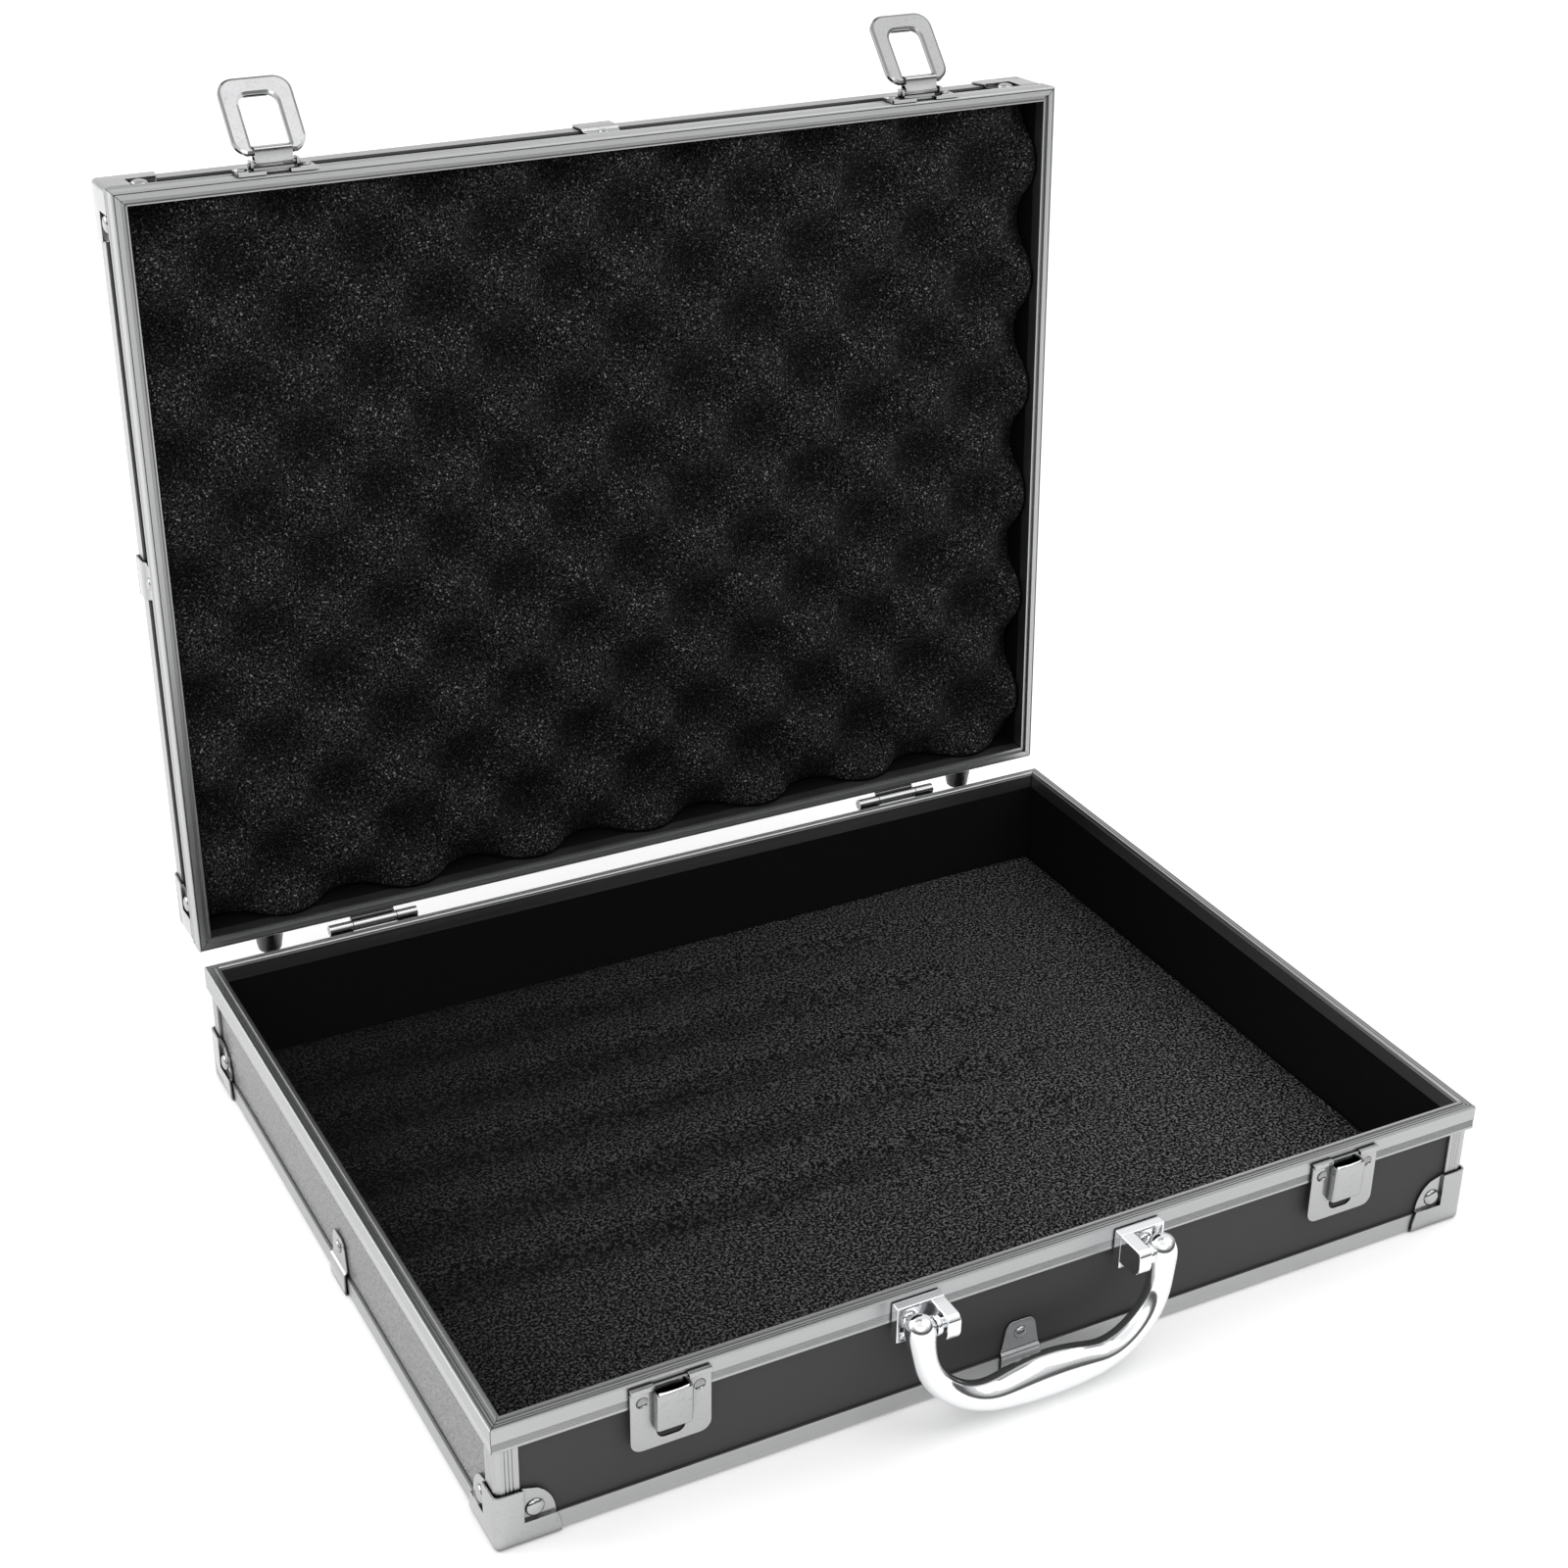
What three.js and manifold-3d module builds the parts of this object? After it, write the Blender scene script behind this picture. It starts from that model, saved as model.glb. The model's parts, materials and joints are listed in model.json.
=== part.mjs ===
// Aluminium attache case with a foam-lined tray and a lid that stands open on its rear feet.
// Units are millimetres, +Z is up, the front is towards -Y. The origin is on the floor, in the
// middle of the open case's footprint. The case is drawn about the middle of its tray first.
import * as THREE from 'three';
import { mergeVertices } from 'three/addons/utils/BufferGeometryUtils.js';
import Module from 'manifold-3d';

const wasm = await Module();
wasm.setup();

// ---- Driving dimensions -------------------------------------------------------------------
const WIDTH = 400; // outside of the frames, left to right
const DEPTH = 310; // outside of the frames, front to back
const BASE_HEIGHT = 52; // floor to the tray frame's ledge
const LID_HEIGHT = 30; // lid frame's mating face to the outside of the lid's corners
const GAP = 0.3; // clearance between pieces that touch
const OPEN_ANGLE = THREE.MathUtils.degToRad(92.5);
const FOOTPRINT_MIDDLE_Y = 13.7; // middle of the open case's footprint, behind the tray's middle

const FRAME_HEIGHT = 10.2; // outer face of both frame extrusions
const FRAME_WIDTH = 5.4; // outer face to inner lip
const MITRE_GAP = 0.15; // half the seam at a mitre
const PANEL_OUT = 2.5; // how far a wall panel sits inside the frame's outer face
const PANEL_THICK = 2.0;
const SHEET = 1.0; // aluminium trims and posts
const TRIM_OUT = 1.2; // how far trims and posts sit inside the frame's outer face
const TRIM_FACE = 8.4; // top of the bottom trim
const PRESSED = 0.9; // pressed steel corners and clips
const POST_FLANGE = 9.6;
const LINING = 0.5;
const BASE_FOAM = 4;
const FRAME_SLOT = 1.6; // depth of the web above the panel slot
const INNER_LEG = 6.5; // depth of the frame's inner leg

const CORNER_LEG = 23.5; // length of a corner protector along each edge
const BASE_CORNER_HEIGHT = 23;
const LID_CORNER_HEIGHT = LID_HEIGHT - FRAME_HEIGHT - GAP;
const RIVET_RADIUS = 3.3;
const RIVET_RISE = 1.3;
const CLIP_WIDTH = 16;

const HINGE_X = 126.2;
const HINGE_LENGTH = 38.5;
const HINGE_BACK = 4; // axis behind the frames' outer face
const BARREL_RADIUS = 2.3;
const PIN_RADIUS = 0.9;

const LATCH_X = 137.5;
const KEEPER_WIDTH = 29.4;
const KEEPER_HEIGHT = 26.5;
const LOOP_WIDTH = 28.2;
const LOOP_WINDOW = 15;
const LOOP_LENGTH = 30.1; // pivot to the far end
const LOOP_REACH = 23.2; // pivot to the window's far edge
const LOOP_THICK = 1.6;
const LINK_LENGTH = 4.5;
const LINK_OFFSET = 1; // loop's bar behind the link pin
const LINK_PIN_UP = 2.9; // link pin above the lid's front face
const LINK_PIN_IN = 6; // link pin from the lid's mating face
const LOOP_LEAN = THREE.MathUtils.degToRad(40); // open loop beyond square
const QUARTER = Math.PI / 2;

const PIVOT_OUT = 11; // handle pivot in front of the frame's outer face
const PIVOT_Z = 45;
const HANDLE_TILT = THREE.MathUtils.degToRad(8);
const ARM_X = 47.7;
const ARM_RADIUS = 5.2;
const GRIP_DROP = 34.4;
const BEND_RADIUS = 20;
const KNOB_X = 49.5;
const BRACKET_X0 = 36;
const BRACKET_X1 = 54.5;
const EAR_THICK = 5.5;

const FOOT_X = 167.4;
const LID_FOOT_IN = 13; // foot axes from the mating plane
const BASE_FOOT_IN = 16;
const FOOT_HEIGHT = 12.4;

const HALF_W = WIDTH / 2;
const HALF_D = DEPTH / 2;
const MATE_LIFT = 0.15; // half the gap between the two frames when shut

// ---- Materials ----------------------------------------------------------------------------
const finish = (color, roughness, metalness) =>
  new THREE.MeshStandardMaterial({ color, roughness, metalness });
const aluminium = () => finish(0xc9cacb, 0.4, 0.95);
const chrome = () => finish(0xd8dadc, 0.12, 1.0);
const blackPanel = () => finish(0x1d1d1e, 0.45, 0.0);
const blackCard = () => finish(0x0b0b0b, 0.9, 0.0);
const foam = () => finish(0x1b1a1b, 0.95, 0.0);
const blackPlastic = () => finish(0x141414, 0.3, 0.0);

// ---- Solid helpers ------------------------------------------------------------------------
function solidOf(geometry) {
  const bare = geometry.index ? geometry.toNonIndexed() : geometry.clone();
  bare.deleteAttribute('normal');
  bare.deleteAttribute('uv');
  const merged = mergeVertices(bare, 1e-4);
  const vertProperties = new Float32Array(merged.attributes.position.array);
  const triVerts = new Uint32Array(merged.index.array);
  return new wasm.Manifold(new wasm.Mesh({ numProp: 3, vertProperties, triVerts }));
}

function geometryOf(solid) {
  const { vertProperties, triVerts } = solid.getMesh();
  const geometry = new THREE.BufferGeometry();
  geometry.setAttribute('position', new THREE.BufferAttribute(new Float32Array(vertProperties), 3));
  geometry.setIndex(new THREE.BufferAttribute(new Uint32Array(triVerts), 1));
  return geometry;
}

function join(...geometries) {
  return geometryOf(geometries.map(solidOf).reduce((a, b) => a.add(b)));
}

function cut(geometry, ...tools) {
  return geometryOf(tools.map(solidOf).reduce((a, b) => a.subtract(b), solidOf(geometry)));
}

// A box between two opposite corners.
function block(x0, x1, y0, y1, z0, z1) {
  const box = new THREE.BoxGeometry(x1 - x0, y1 - y0, z1 - z0);
  return box.translate((x0 + x1) / 2, (y0 + y1) / 2, (z0 + z1) / 2);
}

function outline(points) {
  return new THREE.Shape(points.map(([x, y]) => new THREE.Vector2(x, y)));
}

function extrude(shape, depth, curveSegments = 6) {
  return new THREE.ExtrudeGeometry(shape, { depth, bevelEnabled: false, curveSegments });
}

// A plate drawn in X and Z, with its thickness running from y0 to y0 + thick.
function uprightPlate(shape, y0, thick, curveSegments) {
  return extrude(shape, thick, curveSegments).rotateX(QUARTER).translate(0, y0 + thick, 0);
}

// A rod along X between two places.
function rodX(radius, x0, x1, y, z, sides = 20) {
  const rod = new THREE.CylinderGeometry(radius, radius, x1 - x0, sides).rotateZ(QUARTER);
  return rod.translate((x0 + x1) / 2, y, z);
}

// A domed rivet head that stands out towards -Y from a face at y.
function rivet(x, y, z, radius = RIVET_RADIUS, rise = RIVET_RISE) {
  const steps = 3;
  const profile = [new THREE.Vector2(0, -rise / 2), new THREE.Vector2(radius, -rise / 2)];
  for (let i = 0; i < steps; i++) {
    const a = (i / steps) * QUARTER;
    profile.push(new THREE.Vector2(radius * Math.cos(a), rise * Math.sin(a)));
  }
  profile.push(new THREE.Vector2(0, rise));
  return new THREE.LatheGeometry(profile, 14).rotateX(Math.PI).translate(x, y, z);
}

function mirrored(geometry, sx, sy, sz) {
  const copy = geometry.index ? geometry.toNonIndexed() : geometry.clone();
  copy.scale(sx, sy, sz);
  if (sx * sy * sz < 0) {
    const position = copy.attributes.position;
    const a = new THREE.Vector3();
    const b = new THREE.Vector3();
    for (let i = 0; i < position.count; i += 3) {
      a.fromBufferAttribute(position, i);
      b.fromBufferAttribute(position, i + 1);
      position.setXYZ(i, b.x, b.y, b.z);
      position.setXYZ(i + 1, a.x, a.y, a.z);
    }
  }
  return copy;
}

const root = new THREE.Group();
const base = new THREE.Group();
const lid = new THREE.Group();
root.add(base, lid);
root.position.y = -FOOTPRINT_MIDDLE_Y;

function piece(parent, name, geometry, material) {
  const mesh = new THREE.Mesh(geometry, material);
  mesh.name = name;
  parent.add(mesh);
  return mesh;
}

// The four sides, counted round from the front: [name, length, distance out from the middle].
const SIDES = [
  ['front', WIDTH, HALF_D],
  ['right', DEPTH, HALF_W],
  ['back', WIDTH, HALF_D],
  ['left', DEPTH, HALF_W],
];
// The four corners: [name, mirror in X, mirror in Y], drawn at the front left.
const CORNERS = [
  ['front_left', 1, 1],
  ['front_right', -1, 1],
  ['back_left', 1, -1],
  ['back_right', -1, -1],
];
const HANDS = [
  ['left', -1],
  ['right', 1],
];

// ---- Frame extrusions ---------------------------------------------------------------------
// Sections are drawn in [distance in from the outer face, height above the mating face].
const RIB_PITCH = 0.85;
const RIB_DEPTH = 0.25;
const RIBS = 4;
const RIBS_FROM = -8.9;

function outerFace() {
  const points = [[0.3, -FRAME_HEIGHT], [0, -FRAME_HEIGHT + 0.4]];
  for (let i = 0; i < RIBS; i++) {
    const v = RIBS_FROM + i * RIB_PITCH;
    points.push([0, v], [RIB_DEPTH, v + RIB_PITCH * 0.4]);
  }
  points.push([0, RIBS_FROM + RIBS * RIB_PITCH - 0.3], [0, -0.5], [0.4, 0]);
  return points;
}

// Inner leg and slot for the wall panel, shared by both frames.
function innerSide(lipTop) {
  const slotIn = PANEL_OUT + PANEL_THICK + GAP;
  return [
    [FRAME_WIDTH, lipTop],
    [FRAME_WIDTH, -INNER_LEG],
    [slotIn, -INNER_LEG],
    [slotIn, -FRAME_SLOT],
    [PANEL_OUT - GAP, -FRAME_SLOT],
    [PANEL_OUT - GAP, -FRAME_HEIGHT],
  ];
}

function groove(u, width, depth) {
  return [[u, 0], [u + width * 0.3, -depth], [u + width * 0.7, -depth], [u + width, 0]];
}

const TRAY_SECTION = [
  ...outerFace(),
  ...groove(1.0, 0.5, 0.3),
  ...groove(2.1, 0.5, 0.3),
  [3.4, 0],
  [3.6, 0.9],
  [4.5, 0.9],
  [4.8, 0.5],
  [5.0, -0.2],
  ...innerSide(-0.2),
];
const LID_SECTION = [
  ...outerFace(),
  ...groove(0.7, 0.4, 0.35),
  [3.1, 0],
  [3.2, -1.3],
  [4.8, -1.3],
  [4.9, -0.3],
  ...innerSide(-0.3),
];

// A mitred bar: each end is drawn back by its own distance in from the outer face.
function mitredBar(section, length, out, up) {
  const bar = extrude(outline(section), 2).translate(0, 0, -1);
  const position = bar.attributes.position;
  for (let i = 0; i < position.count; i++) {
    const u = position.getX(i);
    const v = position.getY(i);
    const end = Math.sign(position.getZ(i));
    position.setXYZ(i, end * (length / 2 - u - MITRE_GAP), u - out, v * up);
  }
  return bar;
}

function turned(geometry, side) {
  return geometry.rotateZ(side * QUARTER);
}

// ---- Tray ---------------------------------------------------------------------------------
const FLOOR_UP = TRIM_OUT + SHEET + GAP; // underside of the bottom panel and the wall panels
const FLOOR_TOP = FLOOR_UP + 2.7;
const LINING_IN = PANEL_OUT + PANEL_THICK + GAP; // outside of the lining, in from the frame
const LINING_FLOOR = FLOOR_TOP + GAP;
const BASE_FOAM_Z = LINING_FLOOR + LINING + GAP;

// A wall panel; the front and back ones run full width and the side ones fit between them.
function wallPanel(side, length, out, z0, z1) {
  const short = side % 2 ? PANEL_THICK + GAP : 0;
  const half = length / 2 - PANEL_OUT - short;
  return turned(block(-half, half, PANEL_OUT - out, PANEL_OUT + PANEL_THICK - out, z0, z1), side);
}

// An angle section that covers an outer edge: an upright face and a flange under the panel.
function edgeRing(faceTop) {
  const section = [
    [TRIM_OUT, TRIM_OUT],
    [TRIM_OUT + 7.8, TRIM_OUT],
    [TRIM_OUT + 7.8, TRIM_OUT + SHEET],
    [TRIM_OUT + SHEET, TRIM_OUT + SHEET],
    [TRIM_OUT + SHEET, faceTop],
    [TRIM_OUT, faceTop],
  ];
  const ring = SIDES.map(([, length, out], side) => {
    const bar = extrude(outline(section), 2).translate(0, 0, -1);
    const position = bar.attributes.position;
    for (let i = 0; i < position.count; i++) {
      const u = position.getX(i);
      const v = position.getY(i);
      const end = Math.sign(position.getZ(i));
      position.setXYZ(i, end * (length / 2 - u), u - out, v);
    }
    return turned(bar, side);
  });
  return join(...ring);
}

piece(base, 'base_bottom_panel', block(
  LINING_IN - HALF_W, HALF_W - LINING_IN, LINING_IN - HALF_D, HALF_D - LINING_IN, FLOOR_UP, FLOOR_TOP,
), blackPanel());

SIDES.forEach(([name, length, out], side) => {
  const panelTop = BASE_HEIGHT - FRAME_SLOT - GAP;
  piece(base, `base_${name}_panel`, wallPanel(side, length, out, FLOOR_UP, panelTop), blackPanel());
  const bar = turned(mitredBar(TRAY_SECTION, length, out, 1), side);
  piece(base, `base_frame_${name}`, bar, aluminium()).position.z = BASE_HEIGHT;
});

piece(base, 'base_bottom_trim', edgeRing(TRIM_FACE), aluminium());

// Ribbed corner post: an angle with fine flutes on both faces and a rounded outer edge.
function cornerPost() {
  const face = (flip) => {
    const points = [[2.2, 0], [3.4, 0], [3.7, 0.25], [4.0, 0], [4.7, 0], [5.0, 0.25], [5.3, 0]];
    points.push([6.0, 0], [6.3, 0.25], [6.6, 0], [POST_FLANGE - TRIM_OUT, 0]);
    return flip ? points.map(([a, b]) => [b, a]).reverse() : points;
  };
  const leg = POST_FLANGE - TRIM_OUT;
  const section = [...face(false), [leg, SHEET], [SHEET, SHEET], [SHEET, leg], ...face(true), [0.65, 0.65]];
  const z0 = TRIM_FACE + GAP;
  const z1 = BASE_HEIGHT - FRAME_HEIGHT - GAP;
  return extrude(outline(section), z1 - z0).translate(TRIM_OUT - HALF_W, TRIM_OUT - HALF_D, z0);
}

// ---- Pressed corners ----------------------------------------------------------------------
// One face of a corner protector, drawn outwards from the corner: [along the edge, up].
function cornerFace(height) {
  const shape = new THREE.Shape();
  const shoulder = POST_FLANGE;
  const foot = 8.6;
  shape.moveTo(0, 0);
  shape.lineTo(CORNER_LEG, 0);
  shape.lineTo(CORNER_LEG - 1, foot);
  shape.quadraticCurveTo(CORNER_LEG - 4, height - 1.5, shoulder, height);
  shape.lineTo(0, height);
  return shape;
}

function cornerProtector(height) {
  const front = uprightPlate(cornerFace(height), 0, PRESSED, 5);
  const side = mirrored(front.clone().rotateZ(QUARTER), -1, 1, 1);
  const under = new THREE.Shape();
  under.moveTo(0, 0);
  under.lineTo(CORNER_LEG, 0);
  under.quadraticCurveTo(CORNER_LEG * 0.62, CORNER_LEG * 0.62, 0, CORNER_LEG);
  const rivetAlong = 14;
  const rivetUp = height * 0.58;
  const rivetFront = rivet(rivetAlong, 0, rivetUp);
  const rivetSide = mirrored(rivetFront.clone().rotateZ(QUARTER), -1, 1, 1);
  return join(front, side, extrude(under, PRESSED, 5), rivetFront, rivetSide);
}

CORNERS.forEach(([name, sx, sy]) => {
  piece(base, `corner_post_${name}`, mirrored(cornerPost(), sx, sy, 1), aluminium());
  const corner = cornerProtector(BASE_CORNER_HEIGHT).translate(-HALF_W, -HALF_D, 0);
  piece(base, `base_corner_${name}`, mirrored(corner, sx, sy, 1), chrome());
});

// ---- Pressed clips in the middle of an edge -------------------------------------------------
function edgeClip(height) {
  const half = CLIP_WIDTH / 2;
  const step = TRIM_FACE + 1.2;
  const tab = new THREE.Shape();
  tab.moveTo(-half, step - PRESSED);
  tab.lineTo(half, step - PRESSED);
  tab.lineTo(half - 2, height - 1);
  tab.lineTo(half - 3, height);
  tab.lineTo(3 - half, height);
  tab.lineTo(2 - half, height - 1);
  const tabY = PANEL_OUT - GAP - PRESSED;
  return join(
    block(-half, half, 0, PRESSED, 0, step),
    block(-half, half, 0, tabY + PRESSED, step - PRESSED, step),
    uprightPlate(tab, tabY, PRESSED),
    block(-half, half, 0, 10, 0, PRESSED),
    rivet(0, tabY, height - 5.2, 2.6, 1.2),
  );
}

const CLIP_SIDES = SIDES.map(([name, , out], side) => [name, out, side]).filter(([name]) => name !== 'back');
CLIP_SIDES.forEach(([name, out, side]) => {
  const clip = turned(edgeClip(22.6).translate(0, -out, 0), side);
  piece(base, `base_clip_${name}`, clip, chrome());
});

// ---- Lining and foam ------------------------------------------------------------------------
function liningTray(z0, z1) {
  const x = HALF_W - LINING_IN;
  const y = HALF_D - LINING_IN;
  const inside = block(LINING - x, x - LINING, LINING - y, y - LINING, z0 + LINING, z1 + 1);
  return cut(block(-x, x, -y, y, z0, z1), inside);
}

function foamSlab(z0, z1) {
  const x = HALF_W - LINING_IN - LINING - GAP;
  const y = HALF_D - LINING_IN - LINING - GAP;
  return block(-x, x, -y, y, z0, z1);
}

piece(base, 'base_lining', liningTray(LINING_FLOOR, BASE_HEIGHT - INNER_LEG - GAP), blackCard());
piece(base, 'base_foam', foamSlab(BASE_FOAM_Z, BASE_FOAM_Z + BASE_FOAM), foam());

// ---- Keepers --------------------------------------------------------------------------------
function keeper() {
  const half = KEEPER_WIDTH / 2;
  const r = 4;
  const plate = new THREE.Shape();
  plate.moveTo(-half, 0);
  plate.lineTo(-half, r - KEEPER_HEIGHT);
  plate.absarc(r - half, r - KEEPER_HEIGHT, r, Math.PI, 1.5 * Math.PI, false);
  plate.lineTo(half - r, -KEEPER_HEIGHT);
  plate.absarc(half - r, r - KEEPER_HEIGHT, r, 1.5 * Math.PI, 2 * Math.PI, false);
  plate.lineTo(half, 0);
  const faceY = -GAP - SHEET;
  const boxHalf = 6.7;
  const boxOut = 4;
  const boxTop = -2.5;
  const boxBottom = -18.6;
  const wall = 0.8;
  const y0 = faceY - boxOut;
  return cut(
    join(
      uprightPlate(plate, faceY, SHEET, 4),
      block(-boxHalf, boxHalf, y0, faceY + 0.5, boxBottom, boxTop),
    ),
    block(wall - boxHalf, boxHalf - wall, y0 + wall, -GAP - 0.4, boxBottom + wall, boxTop + 1),
    block(-4.8, 4.8, faceY - 1, 0, boxBottom - 2.6, boxBottom - 0.1),
  );
}

// ---- Handle ---------------------------------------------------------------------------------
// The handle is drawn hanging from its pivot line, which is the X axis.
class HandlePath extends THREE.Curve {
  getPoint(t, target = new THREE.Vector3()) {
    const straight = GRIP_DROP - BEND_RADIUS;
    const bend = BEND_RADIUS * QUARTER;
    const middle = ARM_X - BEND_RADIUS;
    const along = t * (straight + bend + middle);
    if (along <= straight) return target.set(ARM_X, 0, -along);
    if (along <= straight + bend) {
      const a = (along - straight) / BEND_RADIUS;
      return target.set(middle + BEND_RADIUS * Math.cos(a), 0, -straight - BEND_RADIUS * Math.sin(a));
    }
    return target.set(middle - (along - straight - bend), 0, -GRIP_DROP);
  }
}

function handle() {
  const ring = new THREE.Shape();
  ring.absarc(0, 0, ARM_RADIUS, 0, 2 * Math.PI, false);
  const options = { steps: 22, bevelEnabled: false, curveSegments: 7, extrudePath: new HandlePath() };
  const rightArm = new THREE.ExtrudeGeometry(ring, options);
  const leftArm = mirrored(rightArm, -1, 1, 1);
  // The grip swells from the bends to its middle.
  const profile = [new THREE.Vector2(0, -ARM_X + BEND_RADIUS)];
  const half = ARM_X - BEND_RADIUS;
  const steps = 12;
  for (let i = 0; i <= steps; i++) {
    const x = -half + (2 * half * i) / steps;
    const swell = 3.3 * Math.cos((x / half) * QUARTER) ** 2;
    profile.push(new THREE.Vector2(ARM_RADIUS + 0.1 + swell, x));
  }
  profile.push(new THREE.Vector2(0, half));
  const grip = new THREE.LatheGeometry(profile, 20).scale(0.8, 1, 1).rotateZ(QUARTER);
  grip.translate(0, 0, -GRIP_DROP);
  const knob = (side) => {
    const quarter = [[0, 5.6], [3.8, 5.6], [5.2, 4.4], [5.8, 2.4]];
    const lower = quarter.map(([radius, x]) => new THREE.Vector2(radius, -x));
    const upper = quarter.map(([radius, x]) => new THREE.Vector2(radius, x)).reverse();
    const turnedKnob = new THREE.LatheGeometry([...lower, ...upper], 18);
    return turnedKnob.rotateZ(QUARTER).translate(side * KNOB_X, 0, 0);
  };
  const trunnion = (side) => {
    const inner = BRACKET_X0 + 1;
    const rod = rodX(2.1, inner, KNOB_X - 4, 0, 0, 14);
    return side > 0 ? rod : mirrored(rod, -1, 1, 1);
  };
  return join(rightArm, leftArm, grip, knob(1), knob(-1), trunnion(1), trunnion(-1));
}

// Cast bracket on the right: a recessed block on the frame with an ear that carries the pivot.
function bracket() {
  const blockOut = 4.2;
  const z0 = PIVOT_Z - 9;
  const z1 = PIVOT_Z + 5.5;
  const body = block(BRACKET_X0, BRACKET_X1, -blockOut, -GAP, z0, z1);
  const ear = new THREE.Shape();
  ear.moveTo(GAP, PIVOT_Z - 5.5);
  ear.lineTo(PIVOT_OUT, PIVOT_Z - 5.5);
  ear.absarc(PIVOT_OUT, PIVOT_Z, 5.5, -QUARTER, QUARTER, false);
  ear.lineTo(GAP, PIVOT_Z + 5.5);
  // Drawn in [out, up], then turned so that out runs towards -Y and the thickness along X.
  const earSolid = extrude(ear, EAR_THICK, 8).rotateX(QUARTER).rotateZ(-QUARTER);
  earSolid.translate(BRACKET_X0 + EAR_THICK, 0, 0);
  const recessIn = BRACKET_X0 + EAR_THICK + 0.8;
  const recess = block(recessIn, BRACKET_X1 - 1.4, -blockOut - 1, -1.6, z0 + 1.4, z1 - 1.4);
  const bore = rodX(2.4, BRACKET_X0 + 0.6, BRACKET_X0 + EAR_THICK + 1, -PIVOT_OUT, PIVOT_Z, 14);
  const middle = (BRACKET_X0 + EAR_THICK + BRACKET_X1) / 2;
  return join(cut(join(body, earSolid), recess, bore), rivet(middle, -1.6, PIVOT_Z - 2, 3, 1.4));
}

const handleGroup = new THREE.Group();
handleGroup.position.set(0, -HALF_D - PIVOT_OUT, PIVOT_Z);
handleGroup.rotation.x = -HANDLE_TILT;
base.add(handleGroup);
piece(handleGroup, 'handle', handle(), chrome());

// ---- Hinges ---------------------------------------------------------------------------------
// Drawn about the hinge line; the leaf lies below it, on a face that is HINGE_BACK in front.
const KNUCKLES = [
  [0, 0.265],
  [0.265, 0.765],
  [0.765, 1],
];

function hingeLeaf(knuckles) {
  const half = HINGE_LENGTH / 2;
  const y0 = GAP - HINGE_BACK;
  const neck = [
    [y0, -5], [y0 + SHEET, -5], [y0 + SHEET, -3.6], [0, -BARREL_RADIUS],
    [0, -1.4], [y0 + 1.6, -1.6], [y0, -2.8],
  ];
  const parts = [block(-half, half, y0, y0 + SHEET, -16, -4)];
  const bores = [];
  knuckles.forEach(([from, to]) => {
    const x0 = -half + from * HINGE_LENGTH + (from ? GAP / 2 : 0);
    const x1 = -half + to * HINGE_LENGTH - (to < 1 ? GAP / 2 : 0);
    parts.push(rodX(BARREL_RADIUS, x0, x1, 0, 0, 16));
    // Drawn in [back, up] and turned so that its thickness runs along X.
    parts.push(extrude(outline(neck), x1 - x0).rotateX(QUARTER).rotateZ(QUARTER).translate(x0, 0, 0));
    bores.push(rodX(PIN_RADIUS + GAP, x0 - 1, x1 + 1, 0, 0, 12));
  });
  [-0.33, 0.33].forEach((share) => {
    parts.push(mirrored(rivet(share * HINGE_LENGTH, -y0 - SHEET, -10, 2.6, 1.1), 1, -1, 1));
  });
  return cut(join(...parts), ...bores);
}

// A tapered rear foot that stands out towards +Y from y = 0.
function rearFoot() {
  const taper = [[0, 0], [6.8, 0], [6.6, 2.5], [4.9, FOOT_HEIGHT - 0.6]];
  const profile = [...taper, [4.3, FOOT_HEIGHT], [0, FOOT_HEIGHT]];
  return new THREE.LatheGeometry(profile.map(([r, y]) => new THREE.Vector2(r, y)), 24);
}

const hingeZ = BASE_HEIGHT + MATE_LIFT;
const hingeY = HALF_D + HINGE_BACK;
lid.position.set(0, hingeY, hingeZ);
lid.rotation.x = -OPEN_ANGLE;
// The lid is drawn shut inside this group, with its mating face at z = 0.
const shut = new THREE.Group();
shut.position.set(0, -hingeY, MATE_LIFT);
lid.add(shut);

HANDS.forEach(([name, side]) => {
  const baseLeaf = hingeLeaf([KNUCKLES[0], KNUCKLES[2]]);
  piece(base, `hinge_base_leaf_${name}`, baseLeaf, chrome()).position.set(side * HINGE_X, hingeY, hingeZ);
  const lidLeaf = mirrored(hingeLeaf([KNUCKLES[1]]), 1, 1, -1);
  piece(lid, `hinge_lid_leaf_${name}`, lidLeaf, chrome()).position.set(side * HINGE_X, 0, 0);
  const half = HINGE_LENGTH / 2;
  const pin = rodX(PIN_RADIUS, -half, half, 0, 0, 12);
  piece(base, `hinge_pin_${name}`, pin, chrome()).position.set(side * HINGE_X, hingeY, hingeZ);

  const footY = HALF_D + GAP;
  piece(base, `base_rear_foot_${name}`, rearFoot(), blackPlastic())
    .position.set(side * FOOT_X, footY, BASE_HEIGHT - BASE_FOOT_IN);
  piece(shut, `lid_rear_foot_${name}`, rearFoot(), blackPlastic())
    .position.set(side * FOOT_X, footY, LID_FOOT_IN);

  const keeperTop = BASE_HEIGHT - 1.5;
  piece(base, `keeper_${name}`, keeper(), chrome()).position.set(side * LATCH_X, -HALF_D, keeperTop);
  const castBracket = side > 0 ? bracket() : mirrored(bracket(), -1, 1, 1);
  piece(base, `handle_bracket_${name}`, castBracket, chrome()).position.y = -HALF_D;
});

// ---- Lid ------------------------------------------------------------------------------------
const LID_TOP_OUT = LID_HEIGHT - FLOOR_UP; // outside of the lid's top panel
const LID_TOP_IN = LID_TOP_OUT - 2.7;

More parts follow.
